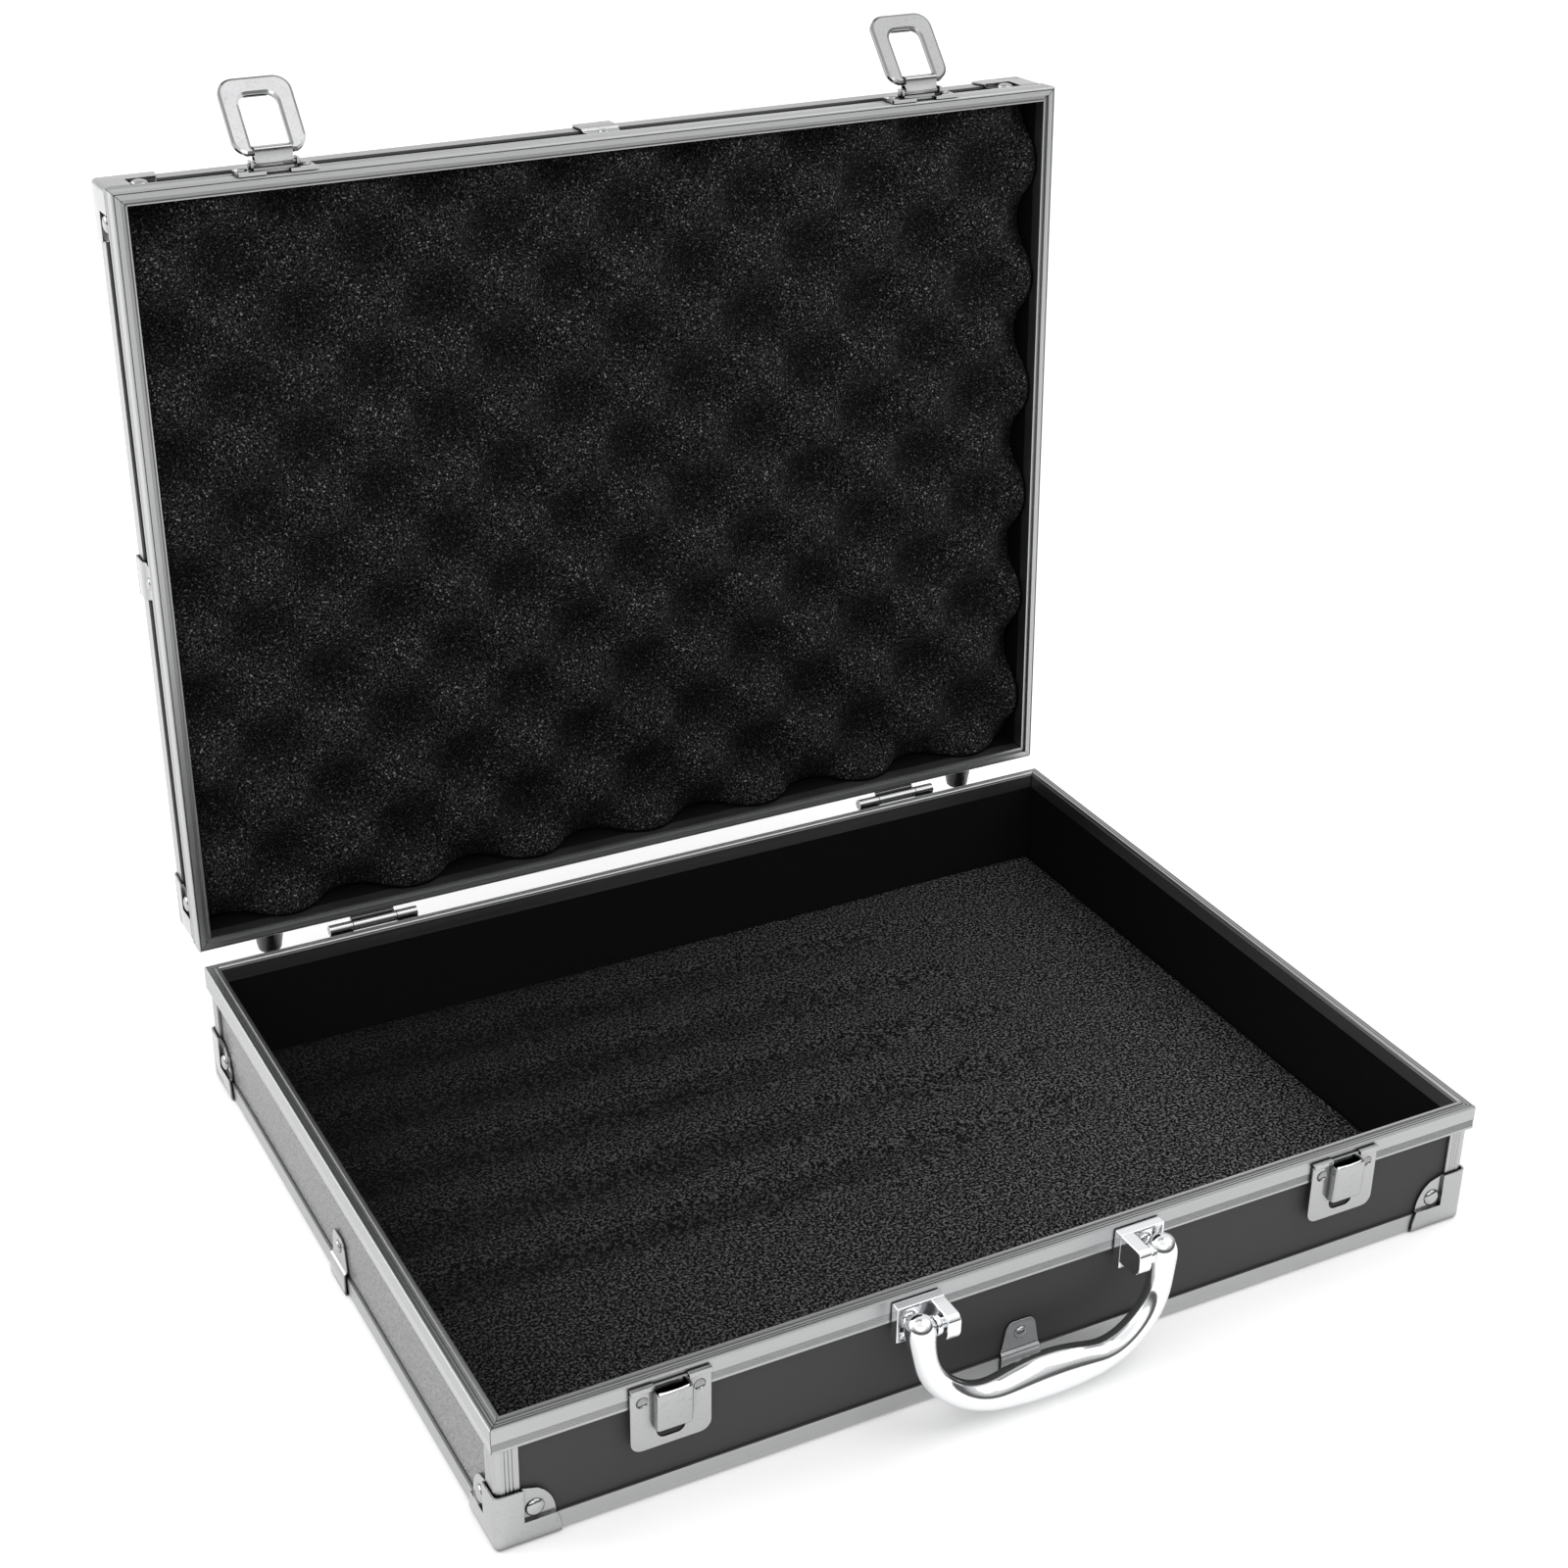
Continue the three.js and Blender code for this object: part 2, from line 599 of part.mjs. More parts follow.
piece(shut, 'lid_top_panel', block(
  LINING_IN - HALF_W, HALF_W - LINING_IN, LINING_IN - HALF_D, HALF_D - LINING_IN, LID_TOP_IN, LID_TOP_OUT,
), blackPanel());

function lidWalls() {
  const outer = [HALF_W - PANEL_OUT, HALF_D - PANEL_OUT];
  const inner = outer.map((v) => v - PANEL_THICK);
  const z0 = FRAME_SLOT + GAP;
  const ring = block(-outer[0], outer[0], -outer[1], outer[1], z0, LID_TOP_OUT);
  return cut(ring, block(-inner[0], inner[0], -inner[1], inner[1], z0 - 1, LID_TOP_OUT + 1));
}

piece(shut, 'lid_side_walls', lidWalls(), blackPanel());
SIDES.forEach(([name, length, out], side) => {
  const bar = turned(mirrored(mitredBar(LID_SECTION, length, out, 1), 1, 1, -1), side);
  piece(shut, `lid_frame_${name}`, bar, aluminium());
});
const lidTrim = mirrored(edgeRing(TRIM_FACE), 1, 1, -1).translate(0, 0, LID_HEIGHT);
piece(shut, 'lid_edge_trim', lidTrim, aluminium());

CORNERS.forEach(([name, sx, sy]) => {
  const upturned = mirrored(cornerProtector(LID_CORNER_HEIGHT), 1, 1, -1);
  const corner = upturned.translate(-HALF_W, -HALF_D, LID_HEIGHT);
  piece(shut, `lid_corner_${name}`, mirrored(corner, sx, sy, 1), chrome());
});
CLIP_SIDES.forEach(([name, out, side]) => {
  const clip = mirrored(edgeClip(LID_CORNER_HEIGHT - 0.3), 1, 1, -1).translate(0, -out, LID_HEIGHT);
  piece(shut, `lid_clip_${name}`, turned(clip, side), chrome());
});

const lidLining = mirrored(liningTray(0, LID_TOP_IN - GAP - INNER_LEG - GAP), 1, 1, -1);
piece(shut, 'lid_lining', lidLining.translate(0, 0, LID_TOP_IN - GAP), blackCard());
const LID_FOAM_FACE = 1; // foam face behind the mating face
piece(shut, 'lid_foam', foamSlab(LID_FOAM_FACE, LID_TOP_IN - 2 * GAP - LINING), foam());

// ---- Hasps ----------------------------------------------------------------------------------
// Riveted plate on the lid's front face with two ears for the link pin.
function haspPlate() {
  const half = 15;
  const deep = 14;
  const y0 = -GAP - SHEET;
  const earHalf = 8.3;
  const ears = [-1, 1].map((s) => {
    const x0 = s > 0 ? earHalf : -earHalf - SHEET;
    return block(x0, x0 + SHEET, -LINK_PIN_UP - 1.9, y0 + 0.2, LINK_PIN_IN - 2.2, LINK_PIN_IN + 2.2);
  });
  const bore = rodX(1.1 + GAP, -half, half, -LINK_PIN_UP, LINK_PIN_IN, 12);
  const body = join(
    cut(join(block(-half, half, y0, -GAP, 0.6, deep), ...ears), bore),
    rivet(-11.8, y0, 9, 2.6, 1.1),
    rivet(11.8, y0, 9, 2.6, 1.1),
  );
  return cut(body, block(-4.8, 4.8, y0 - 1, 0, -1, 2.6));
}

// Boxed link, drawn standing out towards -Y from its pin on the X axis.
function haspLink() {
  const half = 7.2;
  const front = -1.2;
  const back = 3.2;
  const tip = -LINK_LENGTH - 2;
  const wall = 0.8;
  const body = block(-half, half, tip, 0.4, front, back);
  const hollow = block(-half - 1, half + 1, 1.6 - LINK_LENGTH, -1.6, front + wall, back - wall);
  const pin = rodX(1.1, -9.6, 9.6, 0, 0, 12);
  const socket = rodX(1.1 + GAP, -half - 1, half + 1, -LINK_LENGTH, LINK_OFFSET, 12);
  return cut(join(cut(body, hollow), pin), socket);
}

// Loop drawn hanging down -Z from its bar on the X axis, with a lip at the window's far edge.
function haspLoop() {
  const half = LOOP_WIDTH / 2;
  const win = LOOP_WINDOW / 2;
  const shoulder = -0.2;
  const shape = new THREE.Shape();
  shape.moveTo(-win, 4.5);
  shape.lineTo(-win - 2.2, shoulder);
  shape.quadraticCurveTo(-half + 0.5, -2, -half, -8);
  shape.lineTo(-half, 4 - LOOP_LENGTH);
  shape.absarc(4 - half, 4 - LOOP_LENGTH, 4, Math.PI, 1.5 * Math.PI, false);
  shape.lineTo(half - 4, -LOOP_LENGTH);
  shape.absarc(half - 4, 4 - LOOP_LENGTH, 4, 1.5 * Math.PI, 2 * Math.PI, false);
  shape.lineTo(half, -8);
  shape.quadraticCurveTo(half - 0.5, -2, win + 2.2, shoulder);
  shape.lineTo(win, 4.5);
  const flat = new THREE.Shape(shape.getPoints(5).filter((p) => p.y <= 0));
  const ring = uprightPlate(flat, -LOOP_THICK / 2, LOOP_THICK, 5);
  const r = 2;
  const hole = new THREE.Shape();
  hole.moveTo(-win, 3);
  hole.lineTo(-win, r - LOOP_REACH);
  hole.absarc(r - win, r - LOOP_REACH, r, Math.PI, 1.5 * Math.PI, false);
  hole.lineTo(win - r, -LOOP_REACH);
  hole.absarc(win - r, r - LOOP_REACH, r, 1.5 * Math.PI, 2 * Math.PI, false);
  hole.lineTo(win, 3);
  const window = uprightPlate(hole, -3, 6, 4);
  const bar = rodX(1.1, -win - 2, win + 2, 0, 0, 12);
  const lip = block(-3.6, 3.6, -LOOP_THICK / 2, LOOP_THICK / 2 + 0.8, -LOOP_REACH - 1.6, -LOOP_REACH + 0.9);
  return join(cut(ring, window), bar, lip);
}

HANDS.forEach(([name, side]) => {
  piece(shut, `hasp_plate_${name}`, haspPlate(), chrome()).position.set(side * LATCH_X, -HALF_D, 0);
  const link = new THREE.Group();
  link.position.set(side * LATCH_X, -HALF_D - LINK_PIN_UP, LINK_PIN_IN);
  shut.add(link);
  piece(link, `hasp_link_${name}`, haspLink(), chrome());
  const loop = new THREE.Group();
  loop.position.set(0, -LINK_LENGTH, LINK_OFFSET);
  loop.rotation.x = -QUARTER - LOOP_LEAN;
  link.add(loop);
  piece(loop, `hasp_loop_${name}`, haspLoop(), chrome());
});

export default root;
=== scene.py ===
"""Attache case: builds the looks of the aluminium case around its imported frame."""

import json
import math

import bmesh
import bpy
from mathutils import Matrix, Vector, noise

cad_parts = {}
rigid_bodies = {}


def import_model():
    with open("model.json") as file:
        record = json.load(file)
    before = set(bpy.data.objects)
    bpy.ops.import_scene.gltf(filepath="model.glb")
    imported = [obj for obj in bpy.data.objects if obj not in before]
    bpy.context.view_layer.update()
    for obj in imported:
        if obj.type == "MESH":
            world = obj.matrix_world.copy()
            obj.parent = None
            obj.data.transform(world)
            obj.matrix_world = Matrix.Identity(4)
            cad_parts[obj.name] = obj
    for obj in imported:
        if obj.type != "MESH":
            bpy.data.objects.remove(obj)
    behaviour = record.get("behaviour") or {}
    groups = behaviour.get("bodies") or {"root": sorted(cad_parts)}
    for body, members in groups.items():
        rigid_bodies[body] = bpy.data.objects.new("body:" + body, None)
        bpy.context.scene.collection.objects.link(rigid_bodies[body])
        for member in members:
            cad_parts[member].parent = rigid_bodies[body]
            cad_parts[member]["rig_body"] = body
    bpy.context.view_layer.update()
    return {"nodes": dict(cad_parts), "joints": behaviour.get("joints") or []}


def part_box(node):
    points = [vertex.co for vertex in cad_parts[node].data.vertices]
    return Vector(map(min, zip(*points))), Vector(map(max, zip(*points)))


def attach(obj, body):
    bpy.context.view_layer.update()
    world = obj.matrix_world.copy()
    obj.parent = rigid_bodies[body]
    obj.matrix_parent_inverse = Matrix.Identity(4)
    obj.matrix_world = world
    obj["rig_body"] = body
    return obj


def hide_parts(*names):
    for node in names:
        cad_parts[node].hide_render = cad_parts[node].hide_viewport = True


bl_info = {
    "name": "Attache Case Maker",
    "version": (1, 0, 0),
    "blender": (4, 5, 0),
    "location": "3D View > Sidebar > Case",
    "description": "Builds a foam lined aluminium attache case piece by piece",
    "category": "Object",
}

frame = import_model()

MM = 0.001
WELD = 1e-4
JOINTS = {joint["name"]: joint for joint in frame["joints"]}

# ---- Places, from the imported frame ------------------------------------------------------
FRONT_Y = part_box("base_frame_front")[0].y
BACK_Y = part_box("base_frame_back")[1].y
HALF_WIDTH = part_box("base_frame_right")[1].x
MIDDLE_Y = (FRONT_Y + BACK_Y) / 2
HINGE = Vector(JOINTS["lid_hinge"]["pos_m"])
LID_OPEN = math.radians(JOINTS["lid_hinge"]["range_deg"][1])
OPENED = (
    Matrix.Translation(HINGE) @ Matrix.Rotation(-LID_OPEN, 4, "X") @ Matrix.Translation(-HINGE)
)
SHUT = OPENED.inverted()


def shut_box(node):
    """Box of a lid node with the lid swung shut."""
    places = [SHUT @ v.co for v in frame["nodes"][node].data.vertices]
    low = Vector([min(p[i] for p in places) for i in range(3)])
    high = Vector([max(p[i] for p in places) for i in range(3)])
    return low, high


LID_MATE_Z = shut_box("lid_frame_front")[0].z
LID_TOP_Z = shut_box("lid_corner_front_left")[1].z
CORNERS = {
    "front_left": (-1, 1),
    "front_right": (1, 1),
    "back_left": (-1, -1),
    "back_right": (1, -1),
}
HANDS = {"left": -1, "right": 1}


# ---- Settings ---------------------------------------------------------------------------
def length(name, description, default):
    return bpy.props.FloatProperty(
        name=name, description=description, default=default, min=0, subtype="DISTANCE", unit="LENGTH"
    )


def colour(name, description, default):
    return bpy.props.FloatVectorProperty(
        name=name, description=description, default=default, size=3, min=0, max=1, subtype="COLOR"
    )


def share(name, description, default):
    return bpy.props.FloatProperty(
        name=name, description=description, default=default, min=0, max=1, subtype="FACTOR"
    )


class CaseFinishes(bpy.types.PropertyGroup):
    aluminium: colour("Aluminium", "Colour of the frames, trims and posts", (0.44, 0.443, 0.447))
    aluminium_roughness: share("Aluminium roughness", "Gloss of the drawn aluminium", 0.34)
    chrome: colour("Chrome", "Colour of the polished handle and brackets", (0.53, 0.532, 0.536))
    chrome_roughness: share("Chrome roughness", "Gloss of the polished handle and brackets", 0.05)
    nickel: colour("Nickel", "Colour of the pressed sheet fittings", (0.44, 0.442, 0.446))
    nickel_roughness: share("Nickel roughness", "Gloss of the pressed sheet fittings", 0.12)
    # Painted dark reflection: the loops are the same nickel as the other fittings, made darker for the dark
    # surroundings they mirror; the keeper's dimples take this colour as painted shade.
    loop: colour("Hasp loops", "Colour of the hasps' window loops", (0.31, 0.311, 0.314))
    panel: colour("Panels", "Colour of the black outer panels", (0.005, 0.005, 0.0052))
    # Painted reflection: the tray's sides are the same black sheet as the front, painted pale grey for the
    # bright surroundings they mirror at a grazing angle.
    painted_reflection_panel: colour("Tray side panels", "Colour of the tray's grainy sides", (0.125, 0.125, 0.126))
    lining: colour("Lining", "Colour of the smooth black lining", (0.004, 0.004, 0.0042))
    foam: colour("Foam", "Colour of the charcoal foam", (0.0095, 0.0094, 0.0096))
    fleck: colour("Foam flecks", "Colour of the cell walls that catch light", (0.20, 0.198, 0.20))


class CaseFoams(bpy.types.PropertyGroup):
    bump_across: length("Bump pitch across", "Left to right pitch of the egg-crate rows", 0.05475)
    bump_down: length("Bump pitch down", "Front to back pitch of the egg-crate rows", 0.0495)
    bump_height: length("Bump height", "From the dips to the tops of the bumps", 0.014)
    grid: length("Foam mesh", "Spacing of the foam surface's points", 0.0022)
    wave_pitch: length("Tray foam waves", "Pitch of the soft waves in the tray's foam", 0.0375)
    wave_height: length("Tray foam wave height", "Height of those waves", 0.0018)


class CaseFittings(bpy.types.PropertyGroup):
    press: length("Pressed sheet", "Thickness of the pressed corners and clips", 0.0008)
    corner_round: length("Corner radius", "Outer radius of the pressed corners", 0.0020)
    edge_round: length("Edge radius", "Small rounding on the fittings' edges", 0.0004)
    rivet_radius: length("Rivet radius", "Radius of the corners' domed rivets", 0.0034)
    rivet_rise: length("Rivet rise", "Height of a rivet's dome", 0.0015)


class CaseStage(bpy.types.PropertyGroup):
    floor: colour("Floor", "Colour of the plain pale floor", (0.93, 0.93, 0.93))
    lens: bpy.props.FloatProperty(name="Lens", description="Focal length in mm", default=60.21)


def settings(part):
    return getattr(bpy.context.scene, "case_" + part)


# ---- Materials --------------------------------------------------------------------------
class Finish:
    """A node material that is built up from one principled shader."""

    def __init__(self, name, base, roughness, metallic=0.0):
        self.material = bpy.data.materials.new(name)
        self.material.use_nodes = True
        self.tree = self.material.node_tree
        self.shader = self.tree.nodes["Principled BSDF"]
        self.shader.inputs["Base Color"].default_value = (*base, 1)
        self.shader.inputs["Roughness"].default_value = roughness
        self.shader.inputs["Metallic"].default_value = metallic
        self.coordinates = self.add("ShaderNodeTexCoord").outputs["Object"]

    def add(self, kind, **values):
        node = self.tree.nodes.new(kind)
        for key, value in values.items():
            if key in node.inputs:
                node.inputs[key].default_value = value
            else:
                setattr(node, key, value)
        return node

    def link(self, output, target):
        self.tree.links.new(output, target)

    def mapped(self, scale=(1, 1, 1), rotation=(0, 0, 0)):
        node = self.add("ShaderNodeMapping", Scale=scale, Rotation=rotation)
        self.link(self.coordinates, node.inputs["Vector"])
        return node.outputs["Vector"]

    def noise(self, scale, vector=None, detail=2.0, rough=0.5):
        node = self.add("ShaderNodeTexNoise", Scale=scale, Detail=detail, Roughness=rough)
        self.link(vector or self.coordinates, node.inputs["Vector"])
        return node.outputs["Fac"]

    def remap(self, value, low, high, to_low, to_high):
        node = self.add("ShaderNodeMapRange")
        self.link(value, node.inputs["Value"])
        for key, number in zip(("From Min", "From Max", "To Min", "To Max"), (low, high, to_low, to_high)):
            node.inputs[key].default_value = number
        return node.outputs["Result"]

    def mix(self, factor, first, second):
        node = self.add("ShaderNodeMix", data_type="RGBA")
        self.link(factor, node.inputs[0])
        for index, value in ((6, first), (7, second)):
            if hasattr(value, "links"):
                self.link(value, node.inputs[index])
            else:
                node.inputs[index].default_value = (*value, 1)
        return node.outputs[2]

    def maths(self, operation, first, second):
        node = self.add("ShaderNodeMath", operation=operation)
        for index, value in ((0, first), (1, second)):
            if hasattr(value, "links"):
                self.link(value, node.inputs[index])
            else:
                node.inputs[index].default_value = value
        return node.outputs[0]

    def bump(self, height, distance, strength=1.0, under=None):
        node = self.add("ShaderNodeBump", Distance=distance, Strength=strength)
        self.link(height, node.inputs["Height"])
        if under is not None:
            self.link(under, node.inputs["Normal"])
        self.link(node.outputs["Normal"], self.shader.inputs["Normal"])
        return node.outputs["Normal"]

    def painted_crevice_shade(self, reach):
        """Painted shade: from 0 deep in crevices, where shade falls, to 1 out in the open."""
        node = self.add("ShaderNodeAmbientOcclusion", samples=6, Distance=reach)
        return self.remap(node.outputs["AO"], 0.3, 0.85, 0, 1)


def brushed_aluminium(name, stretch, tilt=0.0):
    """Drawn aluminium whose fine lines run along the axis with the small stretch."""
    values = settings("finishes")
    made = Finish(name, values.aluminium, values.aluminium_roughness, 1.0)
    along = made.mapped(stretch, (tilt, 0, 0))
    lines = made.noise(1.0, along, 3.0, 0.6)
    clouds = made.noise(28.0)
    rough = values.aluminium_roughness
    dull, bright = (tuple(gain * c for c in values.aluminium) for gain in (0.96, 1.04))
    shade = made.mix(made.remap(lines, 0.3, 0.7, 0, 1), dull, bright)
    # Painted shade: the aluminium darkens in its grooves, its joints and the gaps beside other parts.
    painted_shade = tuple(0.16 * c for c in values.aluminium)
    made.link(made.mix(made.painted_crevice_shade(0.0016), painted_shade, shade), made.shader.inputs["Base Color"])
    spread = made.maths(
        "ADD",
        made.remap(lines, 0.3, 0.7, -0.03, 0.05),
        made.remap(clouds, 0.3, 0.7, rough - 0.01, rough + 0.01),
    )
    made.link(spread, made.shader.inputs["Roughness"])
    made.bump(lines, 0.00002, 0.1)
    return made.material


def plated(name, base, rough, reach):
    """Plated metal with a faint haze and the slight waviness of pressed or cast metal."""
    made = Finish(name, base, rough, 1.0)
    haze = made.noise(160.0, detail=4.0)
    made.link(made.remap(haze, 0.3, 0.75, rough * 0.7, rough * 1.6), made.shader.inputs["Roughness"])
    wear = made.noise(900.0, detail=3.0, rough=0.7)
    shade = made.mix(made.remap(wear, 0.55, 0.8, 0, 1), base, tuple(0.72 * c for c in base))
    # Painted shade: the metal darkens to near black in recesses and in the gaps between parts.
    painted_shade = tuple(0.08 * c for c in base)
    made.link(made.mix(made.painted_crevice_shade(reach), painted_shade, shade), made.shader.inputs["Base Color"])
    ripple = made.noise(70.0, detail=2.0)
    made.bump(ripple, 0.0002, 0.10)
    return made.material


def grained_panel(name, base, paler):
    """Panel sheet with a fine pebbled satin grain, paler in fine flecks."""
    made = Finish(name, base, 0.2)
    made.shader.inputs["Specular IOR Level"].default_value = 0.08
    cells = made.add("ShaderNodeTexVoronoi", feature="SMOOTH_F1", Scale=1500.0)
    made.link(made.coordinates, cells.inputs["Vector"])
    pebbles = cells.outputs["Distance"]
    fine = made.noise(2600.0, detail=2.0)
    grain = made.noise(1100.0, detail=3.0, rough=0.7)
    tone = made.mix(made.remap(grain, 0.4, 0.6, 0, 1), base, tuple(paler * c for c in base))
    made.link(tone, made.shader.inputs["Base Color"])
    made.link(made.remap(fine, 0.3, 0.7, 0.15, 0.26), made.shader.inputs["Roughness"])
    under = made.bump(fine, 0.00004, 0.2)
    made.bump(pebbles, 0.0001, 0.2, under)
    return made.material


def smooth_lining(name):
    """Black lining with a short, even pile."""
    values = settings("finishes")
    made = Finish(name, values.lining, 0.62)
    fibres = made.noise(900.0, detail=3.0)
    made.link(made.remap(fibres, 0.3, 0.7, 0.55, 0.75), made.shader.inputs["Roughness"])
    made.shader.inputs["Specular IOR Level"].default_value = 0.13
    made.bump(fibres, 0.00004, 0.3)
    return made.material


def open_cell_foam(name, cell, flecks, contrast, shaded, painted_falloff_shade=0.0):
    """Charcoal foam: dark cells, with flecks where cell walls catch the light."""
    values = settings("finishes")
    made = Finish(name, values.foam, 0.95)
    grain = made.noise(1 / cell, detail=2.5, rough=0.7)
    pits = made.noise(0.4 / cell, detail=2.0, rough=0.5)
    dark = tuple(0.2 * c for c in values.foam)
    lit = tuple(contrast * c for c in values.foam)
    tinted = made.mix(made.remap(grain, 0.48, 0.63, 0, 1), dark, lit)
    spots = made.noise(0.9 / cell, made.mapped((1, 1, 1), (0.6, 0.9, 0.3)), detail=1.0, rough=0.4)
    tinted = made.mix(made.remap(spots, 1 - flecks, 1 - flecks + 0.1, 0, 1), tinted, values.fleck)
    # Painted shade: the egg-crate's dips and the waves' troughs are darkened by their stored depth.
    shadow = tuple(0.2 * c for c in values.foam)
    depth = made.add("ShaderNodeAttribute", attribute_name="depth")
    low, high, amount = shaded
    tinted = made.mix(made.remap(depth.outputs["Fac"], low, high, 0, amount), tinted, shadow)
    if painted_falloff_shade:
        # Painted shade: the foam is darkened towards the left and the back, where less light falls.
        place = made.add("ShaderNodeSeparateXYZ")
        made.link(made.mapped((1, -0.7, 1)), place.inputs[0])
        slope = made.maths("ADD", place.outputs["X"], place.outputs["Y"])
        tinted = made.mix(made.remap(slope, -0.2, 0.22, painted_falloff_shade, 0.0), tinted, shadow)
    made.link(tinted, made.shader.inputs["Base Color"])
    made.shader.inputs["Specular IOR Level"].default_value = 0.08
    under = made.bump(pits, cell * 0.6, 0.8)
    made.bump(grain, cell * 0.6, 1.0, under)
    return made.material


def glossy_moulding(name):
    """Moulded black plastic."""
    made = Finish(name, (0.014, 0.014, 0.015), 0.22)
    mould = made.noise(420.0, detail=3.0)
    made.link(made.remap(mould, 0.3, 0.7, 0.18, 0.34), made.shader.inputs["Roughness"])
    made.bump(mould, 0.00005, 0.2)
    return made.material


def finish_named(name):
    """The material of that name, made the first time it is asked for."""
    found = bpy.data.materials.get(name)
    if found:
        return found
    values = settings("finishes")
    fine, long = 1500.0, 6.0
    makers = {
        "aluminium_across": lambda: brushed_aluminium(name, (long, fine, fine)),
        "aluminium_deep": lambda: brushed_aluminium(name, (fine, long, fine)),
        "aluminium_upright": lambda: brushed_aluminium(name, (fine, fine, long)),
        "aluminium_lid_side": lambda: brushed_aluminium(name, (fine, fine, long), math.pi / 2 - LID_OPEN),
        "chrome": lambda: plated(name, values.chrome, values.chrome_roughness, 0.0025),
        "nickel": lambda: plated(name, values.nickel, values.nickel_roughness, 0.005),
        "painted_dark_nickel": lambda: plated(name, values.loop, values.nickel_roughness, 0.002),
        "black_panel": lambda: grained_panel(name, values.panel, 1.5),
        "painted_reflection_panel": lambda: grained_panel(name, values.painted_reflection_panel, 2.2),
        "lining": lambda: smooth_lining(name),
        "lid_foam": lambda: open_cell_foam(name, 0.0008, 0.36, 4.2, (0.4, 1.0, 0.6)),
        "tray_foam": lambda: open_cell_foam(name, 0.0011, 0.27, 17.0, (0.1, 1.0, 0.5), 0.82),
        "black_moulding": lambda: glossy_moulding(name),
    }
    return makers[name]()


# ---- Shaping helpers, in millimetres in a piece's own frame -------------------------------
# A fitting is drawn with x along the wall, -y out of the wall and z up.
def move(bm, geometry, offset):
    verts = [g for g in geometry if isinstance(g, bmesh.types.BMVert)]
    bmesh.ops.translate(bm, verts=verts, vec=offset)


def loop_edges(bm, points, y):
    verts = [bm.verts.new((x, y, z)) for x, z in points]
    return [bm.edges.new((verts[i], verts[(i + 1) % len(verts)])) for i in range(len(verts))]


def plate(bm, outer, y, thick, holes=()):
    """A flat plate from an outline of (x, z) points, with its thickness running inward along y."""
    edges = [e for points in (outer, *holes) for e in loop_edges(bm, points, y)]
    made = bmesh.ops.triangle_fill(bm, use_beauty=True, use_dissolve=False, edges=edges)
    faces = [g for g in made["geom"] if isinstance(g, bmesh.types.BMFace)]
    grown = bmesh.ops.extrude_face_region(bm, geom=faces)
    move(bm, grown["geom"], (0, thick, 0))


def rounded(corners, steps=5):
    """An outline whose corners, given as (x, z, radius), are rounded."""
    points = []
    count = len(corners)
    for i, (x, z, radius) in enumerate(corners):
        here = Vector((x, z))
        if radius <= 0:
            points.append((x, z))
            continue
        before = (Vector(corners[i - 1][:2]) - here).normalized()
        after = (Vector(corners[(i + 1) % count][:2]) - here).normalized()
        half = before.angle(after) / 2
        centre = here + (before + after).normalized() * radius / math.sin(half)
        start = here + before * radius / math.tan(half) - centre
        turn = math.pi - 2 * half
        side = 1 if before.x * after.y - before.y * after.x < 0 else -1
        for step in range(steps + 1):
            a = side * turn * step / steps
            cos, sin = math.cos(a), math.sin(a)
            spoke = Vector((start.x * cos - start.y * sin, start.x * sin + start.y * cos))
            points.append(tuple(centre + spoke))
    return points


def slab(bm, low, high):
    """A box between two corners; returns its vertices."""
    low, high = Vector(low), Vector(high)
    size = high - low
    matrix = Matrix.Translation((low + high) / 2) @ Matrix.Diagonal((*size, 1))
    return bmesh.ops.create_cube(bm, size=1, matrix=matrix)["verts"]


def rod(bm, radius, start, end):
    """A round rod between two points."""
    start, end = Vector(start), Vector(end)
    turn = Vector((0, 0, 1)).rotation_difference(end - start).to_matrix().to_4x4()
    bmesh.ops.create_cone(
        bm, cap_ends=True, cap_tris=False, segments=24, radius1=radius, radius2=radius,
        depth=(end - start).length, matrix=Matrix.Translation((start + end) / 2) @ turn,
    )


def turned(bm, profile, axis_start, axis, steps=32):
    """Spins a profile of (distance along the axis, radius) round the axis."""
    axis = Vector(axis).normalized()
    side = axis.orthogonal().normalized()
    verts = [bm.verts.new(Vector(axis_start) + axis * a + side * r) for a, r in profile]
    edges = [bm.edges.new(pair) for pair in zip(verts, verts[1:])]
    bmesh.ops.spin(
        bm, geom=verts + edges, cent=axis_start, axis=axis, angle=2 * math.pi, steps=steps, use_merge=True
    )
    bmesh.ops.remove_doubles(bm, verts=bm.verts, dist=WELD)


def dome(bm, centre, radius, rise, out=(0, -1, 0)):
    """A domed rivet head with a small flat rim."""
    profile = [(-0.5, 0), (-0.5, radius), (0.12 * rise, radius)]
    for step in range(1, 7):
        a = step / 6 * math.pi / 2
        profile.append((rise * (0.12 + 0.88 * math.sin(a)), radius * 0.97 * math.cos(a)))
    profile[-1] = (rise, 0)
    turned(bm, profile, centre, out, 24)


def weld(bm):
    """Merges doubled points of a shape in millimetres and turns its faces one way."""
    bmesh.ops.remove_doubles(bm, verts=bm.verts, dist=WELD)
    bmesh.ops.recalc_face_normals(bm, faces=bm.faces)


def put_in_place(bm, place):
    """Carries a shape in millimetres to its place on the case."""
    matrix = place @ Matrix.Scale(MM, 4)
    bmesh.ops.transform(bm, matrix=matrix, verts=bm.verts)
    if matrix.determinant() < 0:
        bmesh.ops.reverse_faces(bm, faces=bm.faces)


def to_mesh(bm, name):
    mesh = bpy.data.meshes.new(name)
    bm.to_mesh(mesh)
    bm.free()
    return mesh


